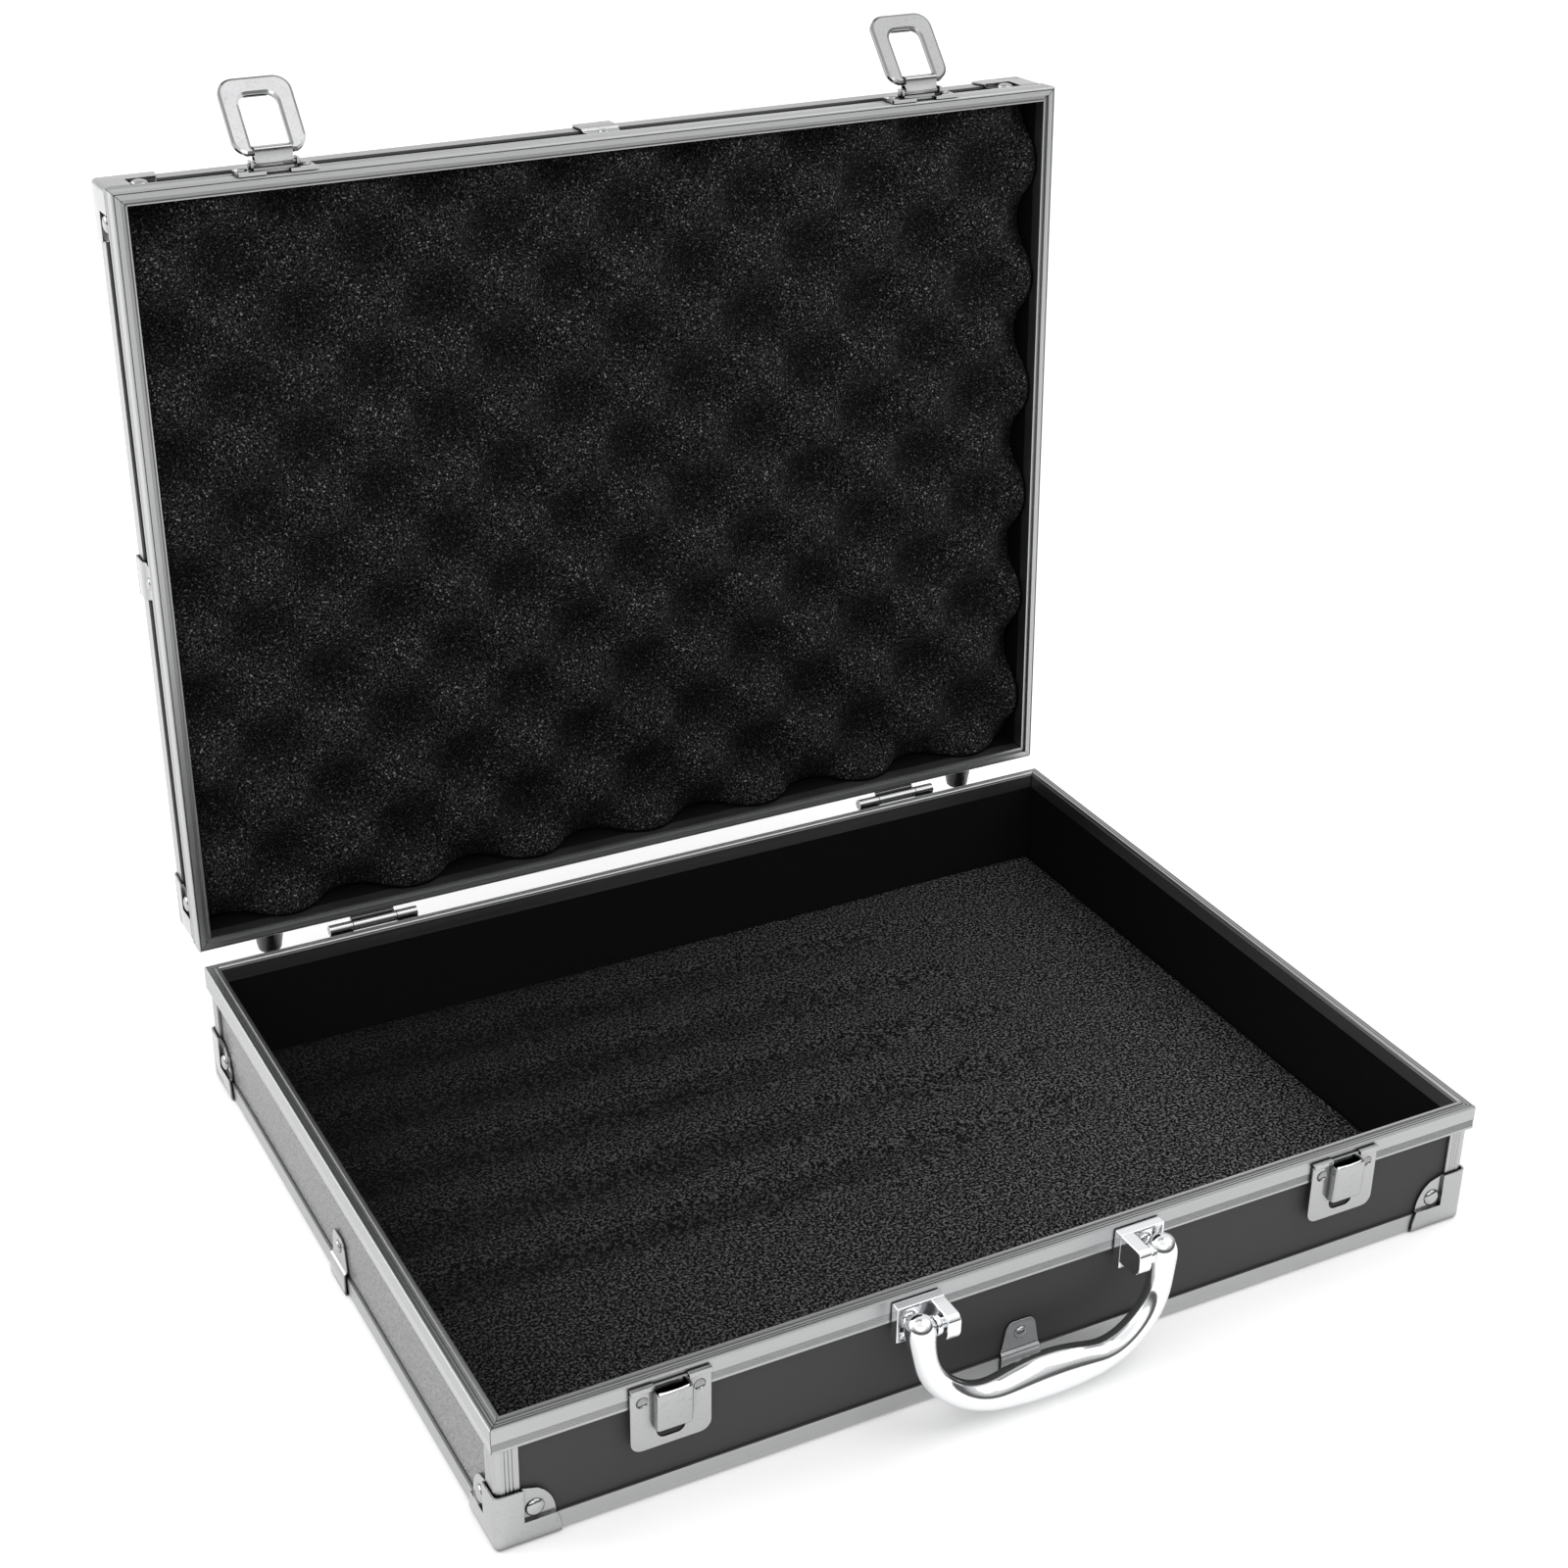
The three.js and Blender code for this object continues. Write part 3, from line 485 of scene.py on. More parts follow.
def round_edges(piece, width, segments, sharp):
    edge = piece.modifiers.new("edge rounding", "BEVEL")
    edge.width = width
    edge.segments = segments
    edge.limit_method = "ANGLE"
    edge.angle_limit = math.radians(sharp)
    edge.harden_normals = True


def finish_piece(bm, name, body, material, place, stands_for=(), bevel=0.0, segments=2, sharp=40):
    """Puts a shape drawn in millimetres in its place and makes it a piece of the case."""
    weld(bm)
    put_in_place(bm, place)
    return settle(to_mesh(bm, name), name, body, material, stands_for, bevel, segments, sharp)


def settle(mesh, name, body, material, stands_for=(), bevel=0.0, segments=2, sharp=40):
    """Makes a mesh a piece: its finish, its edges, and what it rides on and stands for."""
    piece = bpy.data.objects.new(name, mesh)
    bpy.context.scene.collection.objects.link(piece)
    mesh.materials.clear()
    mesh.materials.append(finish_named(material))
    mesh.shade_smooth()
    if bevel:
        round_edges(piece, bevel, segments, sharp)
    else:
        mesh.set_sharp_from_angle(angle=math.radians(sharp))
    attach(piece, body)
    if stands_for:
        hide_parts(*stands_for)
    return piece


def finish_sheet(bm, name, body, place, node, outward, rounding, sharp=35):
    """Makes an open skin into pressed sheet metal, its wall lying behind the drawn faces."""
    weld(bm)
    if sum(f.normal.dot(Vector(outward)) * f.calc_area() for f in bm.faces) < 0:
        bmesh.ops.reverse_faces(bm, faces=bm.faces)
    put_in_place(bm, place)
    piece = settle(to_mesh(bm, name), name, body, "nickel", (node,) if node else (), sharp=180)
    wall = piece.modifiers.new("sheet", "SOLIDIFY")
    wall.thickness = settings("fittings").press
    wall.offset = -1
    round_edges(piece, rounding, 2, sharp)


def repaint(node, material):
    """Gives a CAD node that keeps its shape a better finish."""
    slots = frame["nodes"][node].data.materials
    slots.clear()
    slots.append(finish_named(material))


def smooth_copy(node, material, sharp):
    """A merged and smoothed copy of a CAD node that stands for it."""
    bm = bmesh.new()
    bm.from_mesh(frame["nodes"][node].data)
    bmesh.ops.remove_doubles(bm, verts=bm.verts, dist=2e-6)
    bmesh.ops.dissolve_limit(bm, angle_limit=math.radians(0.5), verts=bm.verts, edges=bm.edges)
    body = frame["nodes"][node]["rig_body"]
    settle(to_mesh(bm, node), node + "_made", body, material, (node,), sharp=sharp)


def tray_side(side, z=0.0):
    """Place of a fitting on one wall of the tray: front, right, back or left."""
    spots = {
        "front": ((0, FRONT_Y, z), 0),
        "right": ((HALF_WIDTH, MIDDLE_Y, z), math.pi / 2),
        "back": ((0, BACK_Y, z), math.pi),
        "left": ((-HALF_WIDTH, MIDDLE_Y, z), -math.pi / 2),
    }
    spot, turn = spots[side]
    return Matrix.Translation(spot) @ Matrix.Rotation(turn, 4, "Z")


UPSIDE_DOWN = Matrix.Diagonal((1, 1, -1, 1))


# ---- Operators --------------------------------------------------------------------------
class CASE_OT_frames(bpy.types.Operator):
    """Finishes the aluminium frames, edge trims and corner posts"""

    bl_idname = "case.frames"
    bl_label = "Aluminium frames"

    def execute(self, context):
        for part in ("base", "lid"):
            for side in ("front", "back"):
                repaint(f"{part}_frame_{side}", "aluminium_across")
        for side in ("left", "right"):
            repaint(f"base_frame_{side}", "aluminium_deep")
            repaint(f"lid_frame_{side}", "aluminium_lid_side")
        repaint("base_bottom_trim", "aluminium_across")
        repaint("lid_edge_trim", "aluminium_across")
        for corner in CORNERS:
            repaint(f"corner_post_{corner}", "aluminium_upright")
        return {"FINISHED"}


class CASE_OT_panels(bpy.types.Operator):
    """Finishes the black outer panels and the smooth linings"""

    bl_idname = "case.panels"
    bl_label = "Panels and linings"

    def execute(self, context):
        for side in ("front", "back"):
            repaint(f"base_{side}_panel", "black_panel")
        # The sides take the pale copy of the black sheet, a painted reflection.
        for side in ("left", "right"):
            repaint(f"base_{side}_panel", "painted_reflection_panel")
        for node in ("base_bottom_panel", "lid_top_panel", "lid_side_walls"):
            repaint(node, "black_panel")
        repaint("base_lining", "lining")
        repaint("lid_lining", "lining")
        return {"FINISHED"}


def pressed_corner(bm, leg, height):
    """Outer skin of a three-way pressed corner, with a pocket stepped in on each upright face."""
    across, up, deep = 10.4, 9.4, 1.25

    def rim(z):
        t = (z - up) / (height - up)
        return across + (leg - 1.6 - across) * math.sqrt(max(0.0, 1 - t * t))

    steps = 8
    curve = [(rim(up + (height - up) * i / steps), up + (height - up) * i / steps) for i in range(steps + 1)]
    curve[-1] = (across, height)
    low = [(0, 0), (leg, 0), (leg - 0.4, up * 0.5), curve[0], (across, up), (0, up)]
    high = [(0, up), (across, up), (across, height), (0, height)]
    under = [(0, 0), (leg, 0)]
    for i in range(1, 8):
        a = i / 8 * math.pi / 2
        under.append((leg * math.cos(a) ** 0.8, leg * math.sin(a) ** 0.8))
    under.append((0, leg))
    for swap in (False, True):
        def put(points, depth=0.0):
            spots = [(x, depth, z) for x, z in points]
            if swap:
                spots = [(y, x, z) for x, y, z in spots]
            bm.faces.new([bm.verts.new(s) for s in spots])

        put(low)
        put(high)
        put([(across, up)] + curve, deep)
        wall = [((across, 0, up), (across, 0, height), (across, deep, height), (across, deep, up))]
        wall.append(((across, 0, up), (across, deep, up), (curve[0][0], deep, up), (curve[0][0], 0, up)))
        for quad in wall:
            spots = [(y, x, z) for x, y, z in quad] if swap else quad
            bm.faces.new([bm.verts.new(s) for s in spots])
    bm.faces.new([bm.verts.new((x, y, 0)) for x, y in under])
    bmesh.ops.remove_doubles(bm, verts=bm.verts, dist=1e-3)
    bmesh.ops.recalc_face_normals(bm, faces=bm.faces)


class CASE_OT_corners(bpy.types.Operator):
    """Makes the eight pressed corners and their rivets"""

    bl_idname = "case.corners"
    bl_label = "Pressed corners"

    def execute(self, context):
        fittings = settings("fittings")
        for part in ("base", "lid"):
            for corner, (sx, sy) in CORNERS.items():
                node = f"{part}_corner_{corner}"
                low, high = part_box(node) if part == "base" else shut_box(node)
                height = (high.z - low.z) / MM
                y = FRONT_Y if sy > 0 else BACK_Y
                spot = Matrix.Translation((sx * HALF_WIDTH, y, 0.0 if part == "base" else LID_TOP_Z))
                place = spot @ Matrix.Diagonal((-sx, sy, 1, 1))
                if part == "lid":
                    place = OPENED @ place @ UPSIDE_DOWN
                self.corner(node, part, place, height, fittings)
        return {"FINISHED"}

    def corner(self, node, body, place, height, fittings):
        bm = bmesh.new()
        leg = 23.5
        pressed_corner(bm, leg, height)
        outer = [e for e in bm.edges if len(e.link_faces) == 2 and self.on_corner(e)]
        bmesh.ops.bevel(
            bm, geom=outer, offset=fittings.corner_round / MM, offset_type="OFFSET", segments=4,
            profile=0.5, affect="EDGES", material=-1, clamp_overlap=True,
        )
        finish_sheet(bm, node + "_pressed", body, place, node, (0, 0, -1), fittings.edge_round)
        rivets = bmesh.new()
        radius, rise = fittings.rivet_radius / MM, fittings.rivet_rise / MM
        across, up = 14.6, min(13.8, height - 6)
        dome(rivets, (across, 1.25, up), radius, rise)
        dome(rivets, (1.25, across, up), radius, rise, (-1, 0, 0))
        finish_piece(rivets, node + "_rivets", body, "nickel", place, ())

    def on_corner(self, edge):
        """True for an edge where two of the corner's outer planes meet."""
        a, b = (v.co for v in edge.verts)
        on_plane = [abs(a[i]) < 1e-3 and abs(b[i]) < 1e-3 for i in range(3)]
        return sum(on_plane) >= 2


class CASE_OT_clips(bpy.types.Operator):
    """Makes the pressed clips in the middle of the edges"""

    bl_idname = "case.clips"
    bl_label = "Edge clips"

    def execute(self, context):
        fittings = settings("fittings")
        for side in ("front", "left", "right"):
            self.clip(f"base_clip_{side}", "base", tray_side(side), 22.4, fittings)
            place = OPENED @ tray_side(side, LID_TOP_Z) @ UPSIDE_DOWN
            self.clip(f"lid_clip_{side}", "lid", place, 19.0, fittings)
        return {"FINISHED"}

    def clip(self, node, body, place, height, fittings):
        bm = bmesh.new()
        top = height - 3
        stations = [
            (9.5, 0.4, 7.2), (8.8, 0, 7.8), (0.9, 0, 8), (0.25, 0.25, 8), (0, 0.9, 8), (0, 8.9, 8),
            (0.25, 9.5, 8), (1.0, 9.9, 7.9), (1.35, 10.6, 7.7), (1.35, top, 6.1),
            (1.35, height - 1.2, 5.2), (1.35, height - 0.3, 4.3), (1.35, height, 3.2),
        ]
        rows = [[bm.verts.new((s * half, y, z)) for s in (-1, 1)] for y, z, half in stations]
        for (a, b), (c, d) in zip(rows, rows[1:]):
            bm.faces.new((a, b, d, c))
        finish_sheet(bm, node + "_pressed", body, place, node, (0, -1, 0), fittings.edge_round / 2, 50)
        rivet = bmesh.new()
        dome(rivet, (0, 1.35, height - 5.4), 2.5, 1.2)
        finish_piece(rivet, node + "_rivet", body, "nickel", place, ())


class CASE_OT_keepers(bpy.types.Operator):
    """Makes the two keepers that the hasps close over"""

    bl_idname = "case.keepers"
    bl_label = "Keepers"

    def execute(self, context):
        fittings = settings("fittings")
        for hand in HANDS:
            node = f"keeper_{hand}"
            low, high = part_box(node)
            spot = Matrix.Translation(((low.x + high.x) / 2, FRONT_Y, high.z))
            self.plate_and_box(node, spot, fittings)
            self.spring(node, spot)
        return {"FINISHED"}

    def plate_and_box(self, node, place, fittings):
        half, tall = 14.7, 26.5
        bm = bmesh.new()
        slot = rounded([(-5.6, -18.9, 1.0), (5.6, -18.9, 1.0), (4.6, -23.3, 3.0), (-4.6, -23.3, 3.0)], 5)
        outline = rounded([(-half, -0.5, 0), (half, -0.5, 0), (half, -tall, 4.2), (-half, -tall, 4.2)], 6)
        dimple_x, dimple_z = 10.4, -6.2
        square = ((-2.2, -2.2), (2.2, -2.2), (2.2, 2.2), (-2.2, 2.2))
        dimples = [
            rounded([(x + a, dimple_z + b, 2.19) for a, b in square], 5)
            for x in (-dimple_x, dimple_x)
        ]
        plate(bm, outline, -1.3, 1.0, [slot, *dimples])
        # The plate's top edge is folded outwards into a double lip.
        for s in (-1, 1):
            x0, x1 = sorted((s * 6.2, s * half))
            slab(bm, (x0, -2.3, -1.7), (x1, -0.35, 0))
        finish_piece(bm, node + "_plate", "base", "nickel", place, (node,), 0.00035, 2, 30)

        box = bmesh.new()
        verts = slab(box, (-6.7, -5.3, -18.6), (6.7, -1.0, -2.6))
        low_front = [v for v in verts if v.co.z < -10 and v.co.y < -3]
        bmesh.ops.translate(box, verts=low_front, vec=(0, 0.5, 0.6))
        lid_face = [f for f in box.faces if f.normal.z > 0.9 or f.normal.y > 0.9]
        bmesh.ops.delete(box, geom=lid_face, context="FACES_ONLY")
        edges = [e for e in box.edges if len(e.link_faces) == 2]
        bmesh.ops.bevel(
            box, geom=edges, offset=1.3, offset_type="OFFSET", segments=4, profile=0.5,
            affect="EDGES", material=-1, clamp_overlap=True,
        )
        finish_sheet(box, node + "_box", "base", place, None, (0, -1, 0), fittings.edge_round / 2, 60)
        # The pressed dimples beside the box, in the darker nickel as painted shade.
        dishes = bmesh.new()
        hollow = [
            (0, 2.3), (0.35, 2.05), (0.65, 1.45), (0.78, 0.7), (0.8, 0),
            (0.95, 0), (0.95, 2.6), (0.2, 2.6), (0, 2.3),
        ]
        for s in (-1, 1):
            turned(dishes, hollow, (s * dimple_x, -1.3, dimple_z), (0, 1, 0), 24)
        finish_piece(dishes, node + "_dimples", "base", "painted_dark_nickel", place, (), sharp=50)

    def spring(self, node, place):
        """Bowed strip of spring steel that shows in the keeper's open top."""
        bm = bmesh.new()
        points = []
        for step in range(13):
            a = math.pi * (0.14 + 0.72 * step / 12)
            points.append((-5.6 * math.cos(a) / math.cos(math.pi * 0.14), -3.3 - 1.0 * math.sin(a)))
        verts = [bm.verts.new((x, y, -2.2)) for x, y in points]
        edges = [bm.edges.new(pair) for pair in zip(verts, verts[1:])]
        grown = bmesh.ops.extrude_edge_only(bm, edges=edges)
        move(bm, grown["geom"], (0, 0, -9))
        piece = finish_piece(bm, node + "_spring", "base", "chrome", place, (), sharp=60)
        wall = piece.modifiers.new("strip", "SOLIDIFY")
        wall.thickness = 0.0005
        wall.offset = 0


def rest_place(joint):
    """Place of a piece drawn about a joint's line, with the lid open."""
    spot = Matrix.Translation(Vector(JOINTS[joint]["pos_m"]))
    return spot @ Matrix.Rotation(-LID_OPEN, 4, "X")


LOOP_LEAN = math.radians(130)


class CASE_OT_hasps(bpy.types.Operator):
    """Makes the hasps: riveted plate, boxed link and window loop"""

    bl_idname = "case.hasps"
    bl_label = "Hasps"

    def execute(self, context):
        for hand in HANDS:
            low, high = shut_box(f"hasp_plate_{hand}")
            middle = (low.x + high.x) / 2
            place = OPENED @ Matrix.Translation((middle, FRONT_Y, LID_MATE_Z))
            self.plate(f"hasp_plate_{hand}", place)
            self.link(f"hasp_link_{hand}", rest_place(f"hasp_link_{hand}"))
            lean = Matrix.Rotation(-LOOP_LEAN, 4, "X")
            self.loop(f"hasp_loop_{hand}", rest_place(f"hasp_loop_{hand}") @ lean)
        return {"FINISHED"}

    def plate(self, node, place):
        bm = bmesh.new()
        half = 15.2
        outline = rounded([
            (-half, 0.5, 0.3), (-4.7, 0.5, 0), (-4.7, 3.0, 0.3), (4.7, 3.0, 0.3), (4.7, 0.5, 0),
            (half, 0.5, 0.3),
            (half, 9.5, 0.8), (half - 4.5, 14, 0.8), (4.5 - half, 14, 0.8), (-half, 9.5, 0.8),
        ], 3)
        plate(bm, outline, -1.3, 1.0)
        for s in (-1, 1):
            x0, x1 = sorted((s * 4.7, s * half))
            slab(bm, (x0, -1.7, 0.3), (x1, -0.35, 2.2))
            ear = sorted((s * 8.3, s * 9.3))
            slab(bm, (ear[0], -4.6, 4.0), (ear[1], -1.0, 8.2))
        finish_piece(bm, node + "_made", "lid", "nickel", place, (node,), 0.0003, 2, 30)
        rivets = bmesh.new()
        for s in (-1, 1):
            dome(rivets, (s * 12.2, -1.3, 8.0), 2.5, 1.0)
        finish_piece(rivets, node + "_rivets", "lid", "nickel", place, ())

    def link(self, node, place):
        bm = bmesh.new()
        half = 7.2
        profile = rounded([(-0.4, -1.2, 0.5), (-6.5, -1.2, 0.9), (-6.5, 3.2, 0.9), (-0.4, 3.2, 0.5)], 4)
        hollow = rounded([(-1.6, -0.4, 0.3), (-3.0, -0.4, 0.3), (-3.0, 2.4, 0.3), (-1.6, 2.4, 0.3)], 3)
        # Drawn edge on as (out, back), and carried across the link's width.
        edges = []
        for points in (profile, hollow):
            verts = [bm.verts.new((-half, y, z)) for y, z in points]
            edges += [bm.edges.new((verts[i], verts[(i + 1) % len(verts)])) for i in range(len(verts))]
        made = bmesh.ops.triangle_fill(bm, use_beauty=True, edges=edges)
        faces = [g for g in made["geom"] if isinstance(g, bmesh.types.BMFace)]
        grown = bmesh.ops.extrude_face_region(bm, geom=faces)
        move(bm, grown["geom"], (2 * half, 0, 0))
        rod(bm, 1.1, (-9.8, 0, 0), (9.8, 0, 0))
        finish_piece(bm, node + "_made", node, "nickel", place, (node,), 0.0003, 2, 40)

    def loop(self, node, place):
        bm = bmesh.new()
        half, win, far, reach = 14.1, 7.5, 30.1, 23.2
        outer = rounded([
            (-9.6, 1.0, 1.2), (-half, -1.6, 6.5), (-half, -far, 6.5), (half, -far, 6.5),
            (half, -1.6, 6.5), (9.6, 1.0, 1.2),
        ], 8)
        window = rounded([(-win, -1.4, 0.4), (-win, -reach, 4.2), (win, -reach, 4.2), (win, -1.4, 0.4)], 7)
        plate(bm, outer, -0.8, 1.6, [window])
        # A shallow pressed field leaves a raised border round the outside.
        front = [f for f in bm.faces if f.normal.y < -0.9 or f.calc_center_median().y < -0.79]
        bmesh.ops.inset_region(bm, faces=front, thickness=1.0, depth=0, use_even_offset=True)
        sunk = {v for f in front for v in f.verts}
        bmesh.ops.translate(bm, verts=list(sunk), vec=(0, 0.45, 0))
        # The loop takes the darker nickel, a painted dark reflection.
        finish_piece(bm, node + "_made", node, "painted_dark_nickel", place, (node,), 0.00025, 2, 18)
        lip = bmesh.new()
        rim = rounded([
            (-4.6, -reach + 0.3, 0), (-3.4, -reach - 1.9, 0.5),
            (3.4, -reach - 1.9, 0.5), (4.6, -reach + 0.3, 0),
        ], 3)
        hole = rounded([
            (-3.0, -reach - 0.2, 0.2), (-2.5, -reach - 1.2, 0.3),
            (2.5, -reach - 1.2, 0.3), (3.0, -reach - 0.2, 0.2),
        ], 3)
        plate(lip, rim, -1.2, 0.7, [hole])
        finish_piece(lip, node + "_lip", node, "painted_dark_nickel", place, (), 0.00018, 2, 40)


class CASE_OT_handle(bpy.types.Operator):
    """Makes the swinging handle and its two brackets"""

    bl_idname = "case.handle"
    bl_label = "Handle and brackets"

    def execute(self, context):
        self.grip()
        for hand, side in HANDS.items():
            self.bracket(f"handle_bracket_{hand}", side)
        return {"FINISHED"}

    def grip(self):
        """One bar: a dome-topped knob, an arm, a bend, and a grip that swells in the middle."""
        # Stations on the right half: place (x, down), heading from straight down, half widths.
        stations = [
            (49.3, -5.75, 0, 0.05, 0.05), (49.3, -5.6, 0, 1.6, 1.6), (49.3, -5.0, 0, 3.1, 3.1),
            (49.3, -3.8, 0, 4.5, 4.5), (49.3, -2.0, 0, 5.4, 5.4), (49.3, 0.4, 0, 5.75, 5.75),
            (49.2, 3.2, 1, 5.5, 5.5), (48.9, 6.4, 3, 5.05, 5.15), (48.3, 10.5, 8, 4.75, 4.9),
            (47.3, 15.0, 18, 4.65, 4.85), (45.2, 19.8, 31, 4.7, 4.9), (42.0, 24.2, 44, 4.8, 5.0),
            (37.9, 28.0, 55, 4.9, 5.15), (33.2, 31.2, 66, 5.05, 5.35), (28.2, 33.4, 77, 5.4, 5.6),
            (23.0, 34.6, 87, 6.0, 5.9), (17.5, 34.6, 92, 6.9, 6.3), (11.5, 34.3, 92, 7.9, 6.7),
            (5.5, 34.05, 91, 8.5, 6.9), (0, 34.0, 90, 8.65, 7.0),
        ]
        mirror = [(-x, d, 180 - a, wide, deep) for x, d, a, wide, deep in reversed(stations[:-1])]
        bm = bmesh.new()
        ring = None
        for x, down, heading, wide, deep in stations + mirror:
            a = math.radians(heading)
            # The section's wide direction lies in the handle's plane, across its heading.
            across = Vector((math.cos(a), 0, -math.sin(a)))
            place = Matrix.Translation((x, 0, -down))
            basis = Matrix((across, Vector((0, 1, 0)), across.cross(Vector((0, 1, 0))))).transposed().to_4x4()
            matrix = place @ basis @ Matrix.Diagonal((wide, deep, 1, 1))
            made = bmesh.ops.create_circle(bm, cap_ends=False, segments=24, radius=1, matrix=matrix)["verts"]
            edges = list({e for v in made for e in v.link_edges})
            if ring:
                bmesh.ops.bridge_loops(bm, edges=ring + edges)
            ring = edges
        ends = [e for e in bm.edges if len(e.link_faces) == 1]
        bmesh.ops.holes_fill(bm, edges=ends, sides=0)
        pivot = Vector(JOINTS["handle_pivot"]["pos_m"])
        tilt = Matrix.Rotation(-math.radians(8), 4, "X")
        place = Matrix.Translation(pivot) @ tilt
        piece = finish_piece(bm, "handle_bar", "handle", "chrome", place, ("handle",), sharp=180)
        smooth = piece.modifiers.new("smooth bar", "SUBSURF")
        smooth.levels = smooth.render_levels = 1
        pins = bmesh.new()
        washer = [(0, 0), (0, 3.4), (0.5, 3.7), (1.6, 3.7), (1.9, 3.4), (1.9, 0)]
        for side in (-1, 1):
            rod(pins, 2.1, (side * 37, 0, 0), (side * 46, 0, 0))
            turned(pins, washer, (side * 42.2, 0, 0), (side, 0, 0))
        finish_piece(pins, "handle_pins", "handle", "chrome", place, (), sharp=35)

    def bracket(self, node, side):
        low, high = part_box(node)
        pivot = Vector(JOINTS["handle_pivot"]["pos_m"])
        place = Matrix.Translation((0, FRONT_Y, 0)) @ Matrix.Diagonal((side, 1, 1, 1))
        x0, x1 = 36.0, 54.5
        z0, z1 = low.z / MM, high.z / MM
        bm = bmesh.new()
        slab(bm, (x0, -4.4, z0), (x1, -0.3, z1))
        front = [f for f in bm.faces if f.normal.y < -0.9]
        bmesh.ops.inset_region(bm, faces=front, thickness=1.2, depth=0, use_even_offset=True)
        sunk = bmesh.ops.extrude_face_region(bm, geom=front)
        move(bm, sunk["geom"], (0, 2.8, 0))
        bmesh.ops.delete(bm, geom=[f for f in front if f.is_valid], context="FACES")
        inner = [g for g in sunk["geom"] if isinstance(g, bmesh.types.BMVert)]
        for v in inner:
            v.co.x += 0.25 if v.co.x < 45 else -0.25
            v.co.z += 0.25 if v.co.z < (z0 + z1) / 2 else -0.25
        finish_piece(bm, node + "_block", "base", "chrome", place, (node,), 0.0004, 3, 30)

        ear = bmesh.new()
        out = (FRONT_Y - pivot.y) / MM
        middle = pivot.z / MM
        points = rounded([
            (-out - 5.3, middle - 5.3, 4.8), (-3.6, middle - 6.6, 1.5), (-0.6, z0 + 0.6, 0),
            (-0.6, z1 - 0.3, 0), (-out - 5.3, middle + 5.3, 3.0),
        ], 8)
        verts = [ear.verts.new((x0 + 0.15, y, z)) for y, z in points]
        face = ear.faces.new(verts)
        grown = bmesh.ops.extrude_face_region(ear, geom=[face])
        move(ear, grown["geom"], (5.3, 0, 0))
        finish_piece(ear, node + "_ear", "base", "chrome", place, (), 0.0006, 3, 30)
        rivet = bmesh.new()
        dome(rivet, (48.2, -1.6, middle - 2.0), 2.9, 1.5)
        finish_piece(rivet, node + "_rivet", "base", "chrome", place, ())


class CASE_OT_hinges(bpy.types.Operator):
    """Makes the two butt hinges and their pins"""

    bl_idname = "case.hinges"
    bl_label = "Hinges"

    def execute(self, context):
        for hand in HANDS:
            for part in ("base", "lid"):
                smooth_copy(f"hinge_{part}_leaf_{hand}", "nickel", sharp=30)
            smooth_copy(f"hinge_pin_{hand}", "nickel", sharp=30)
        return {"FINISHED"}


class CASE_OT_feet(bpy.types.Operator):
    """Makes the tapered black feet on the back"""

    bl_idname = "case.feet"
    bl_label = "Rear feet"

    def execute(self, context):
        profile = [
            (0, 0), (0, 6.5), (0.3, 6.8), (2.2, 6.7), (2.6, 6.35), (10.9, 5.0),
            (11.8, 4.7), (12.3, 4.2), (12.4, 3.6), (12.4, 2.4), (11.6, 2.1), (11.4, 0),
        ]
        for part in ("base", "lid"):
            for hand in HANDS:
                node = f"{part}_rear_foot_{hand}"
                low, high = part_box(node) if part == "base" else shut_box(node)
                spot = Matrix.Translation(((low.x + high.x) / 2, low.y, (low.z + high.z) / 2))
                place = spot if part == "base" else OPENED @ spot
                bm = bmesh.new()
                turned(bm, profile, (0, 0, 0), (0, 1, 0), 40)
                name = node + "_turned"
                finish_piece(bm, name, part, "black_moulding", place, (node,), sharp=35)
        return {"FINISHED"}


def foam_grid(low, high, spacing, back, height):
    """A closed block of foam whose face is a fine grid lifted to height(x, y)."""
    bm = bmesh.new()
    size = high - low
    columns, rows = round(size.x / spacing), round(size.y / spacing)
    middle = (low + high) / 2
    matrix = Matrix.Translation((middle.x, middle.y, 0)) @ Matrix.Diagonal((size.x / 2, size.y / 2, 1, 1))
    bmesh.ops.create_grid(bm, x_segments=columns, y_segments=rows, size=1, matrix=matrix)
    face_verts = list(bm.verts)
    grown = bmesh.ops.extrude_face_region(bm, geom=list(bm.faces))
    for v in grown["geom"]:
        if isinstance(v, bmesh.types.BMVert):
            v.co.z = back
    for v in face_verts:
        v.co.z = height(v.co.x, v.co.y)
    bmesh.ops.recalc_face_normals(bm, faces=bm.faces)
    return bm


def store_depth(bm, depth):
    """Stores how deep each point lies, for the foam's finish to darken the dips and troughs with painted
    shade.
    """
    layer = bm.verts.layers.float.new("depth")
    for v in bm.verts:
        v[layer] = depth(v.co.x, v.co.y)


def softened(distance, radius):
    """How far a foam edge rounds down at a distance in from its cut side."""
    if distance >= radius:
        return 0.0
    return radius - math.sqrt(max(0.0, radius * radius - (radius - distance) ** 2))


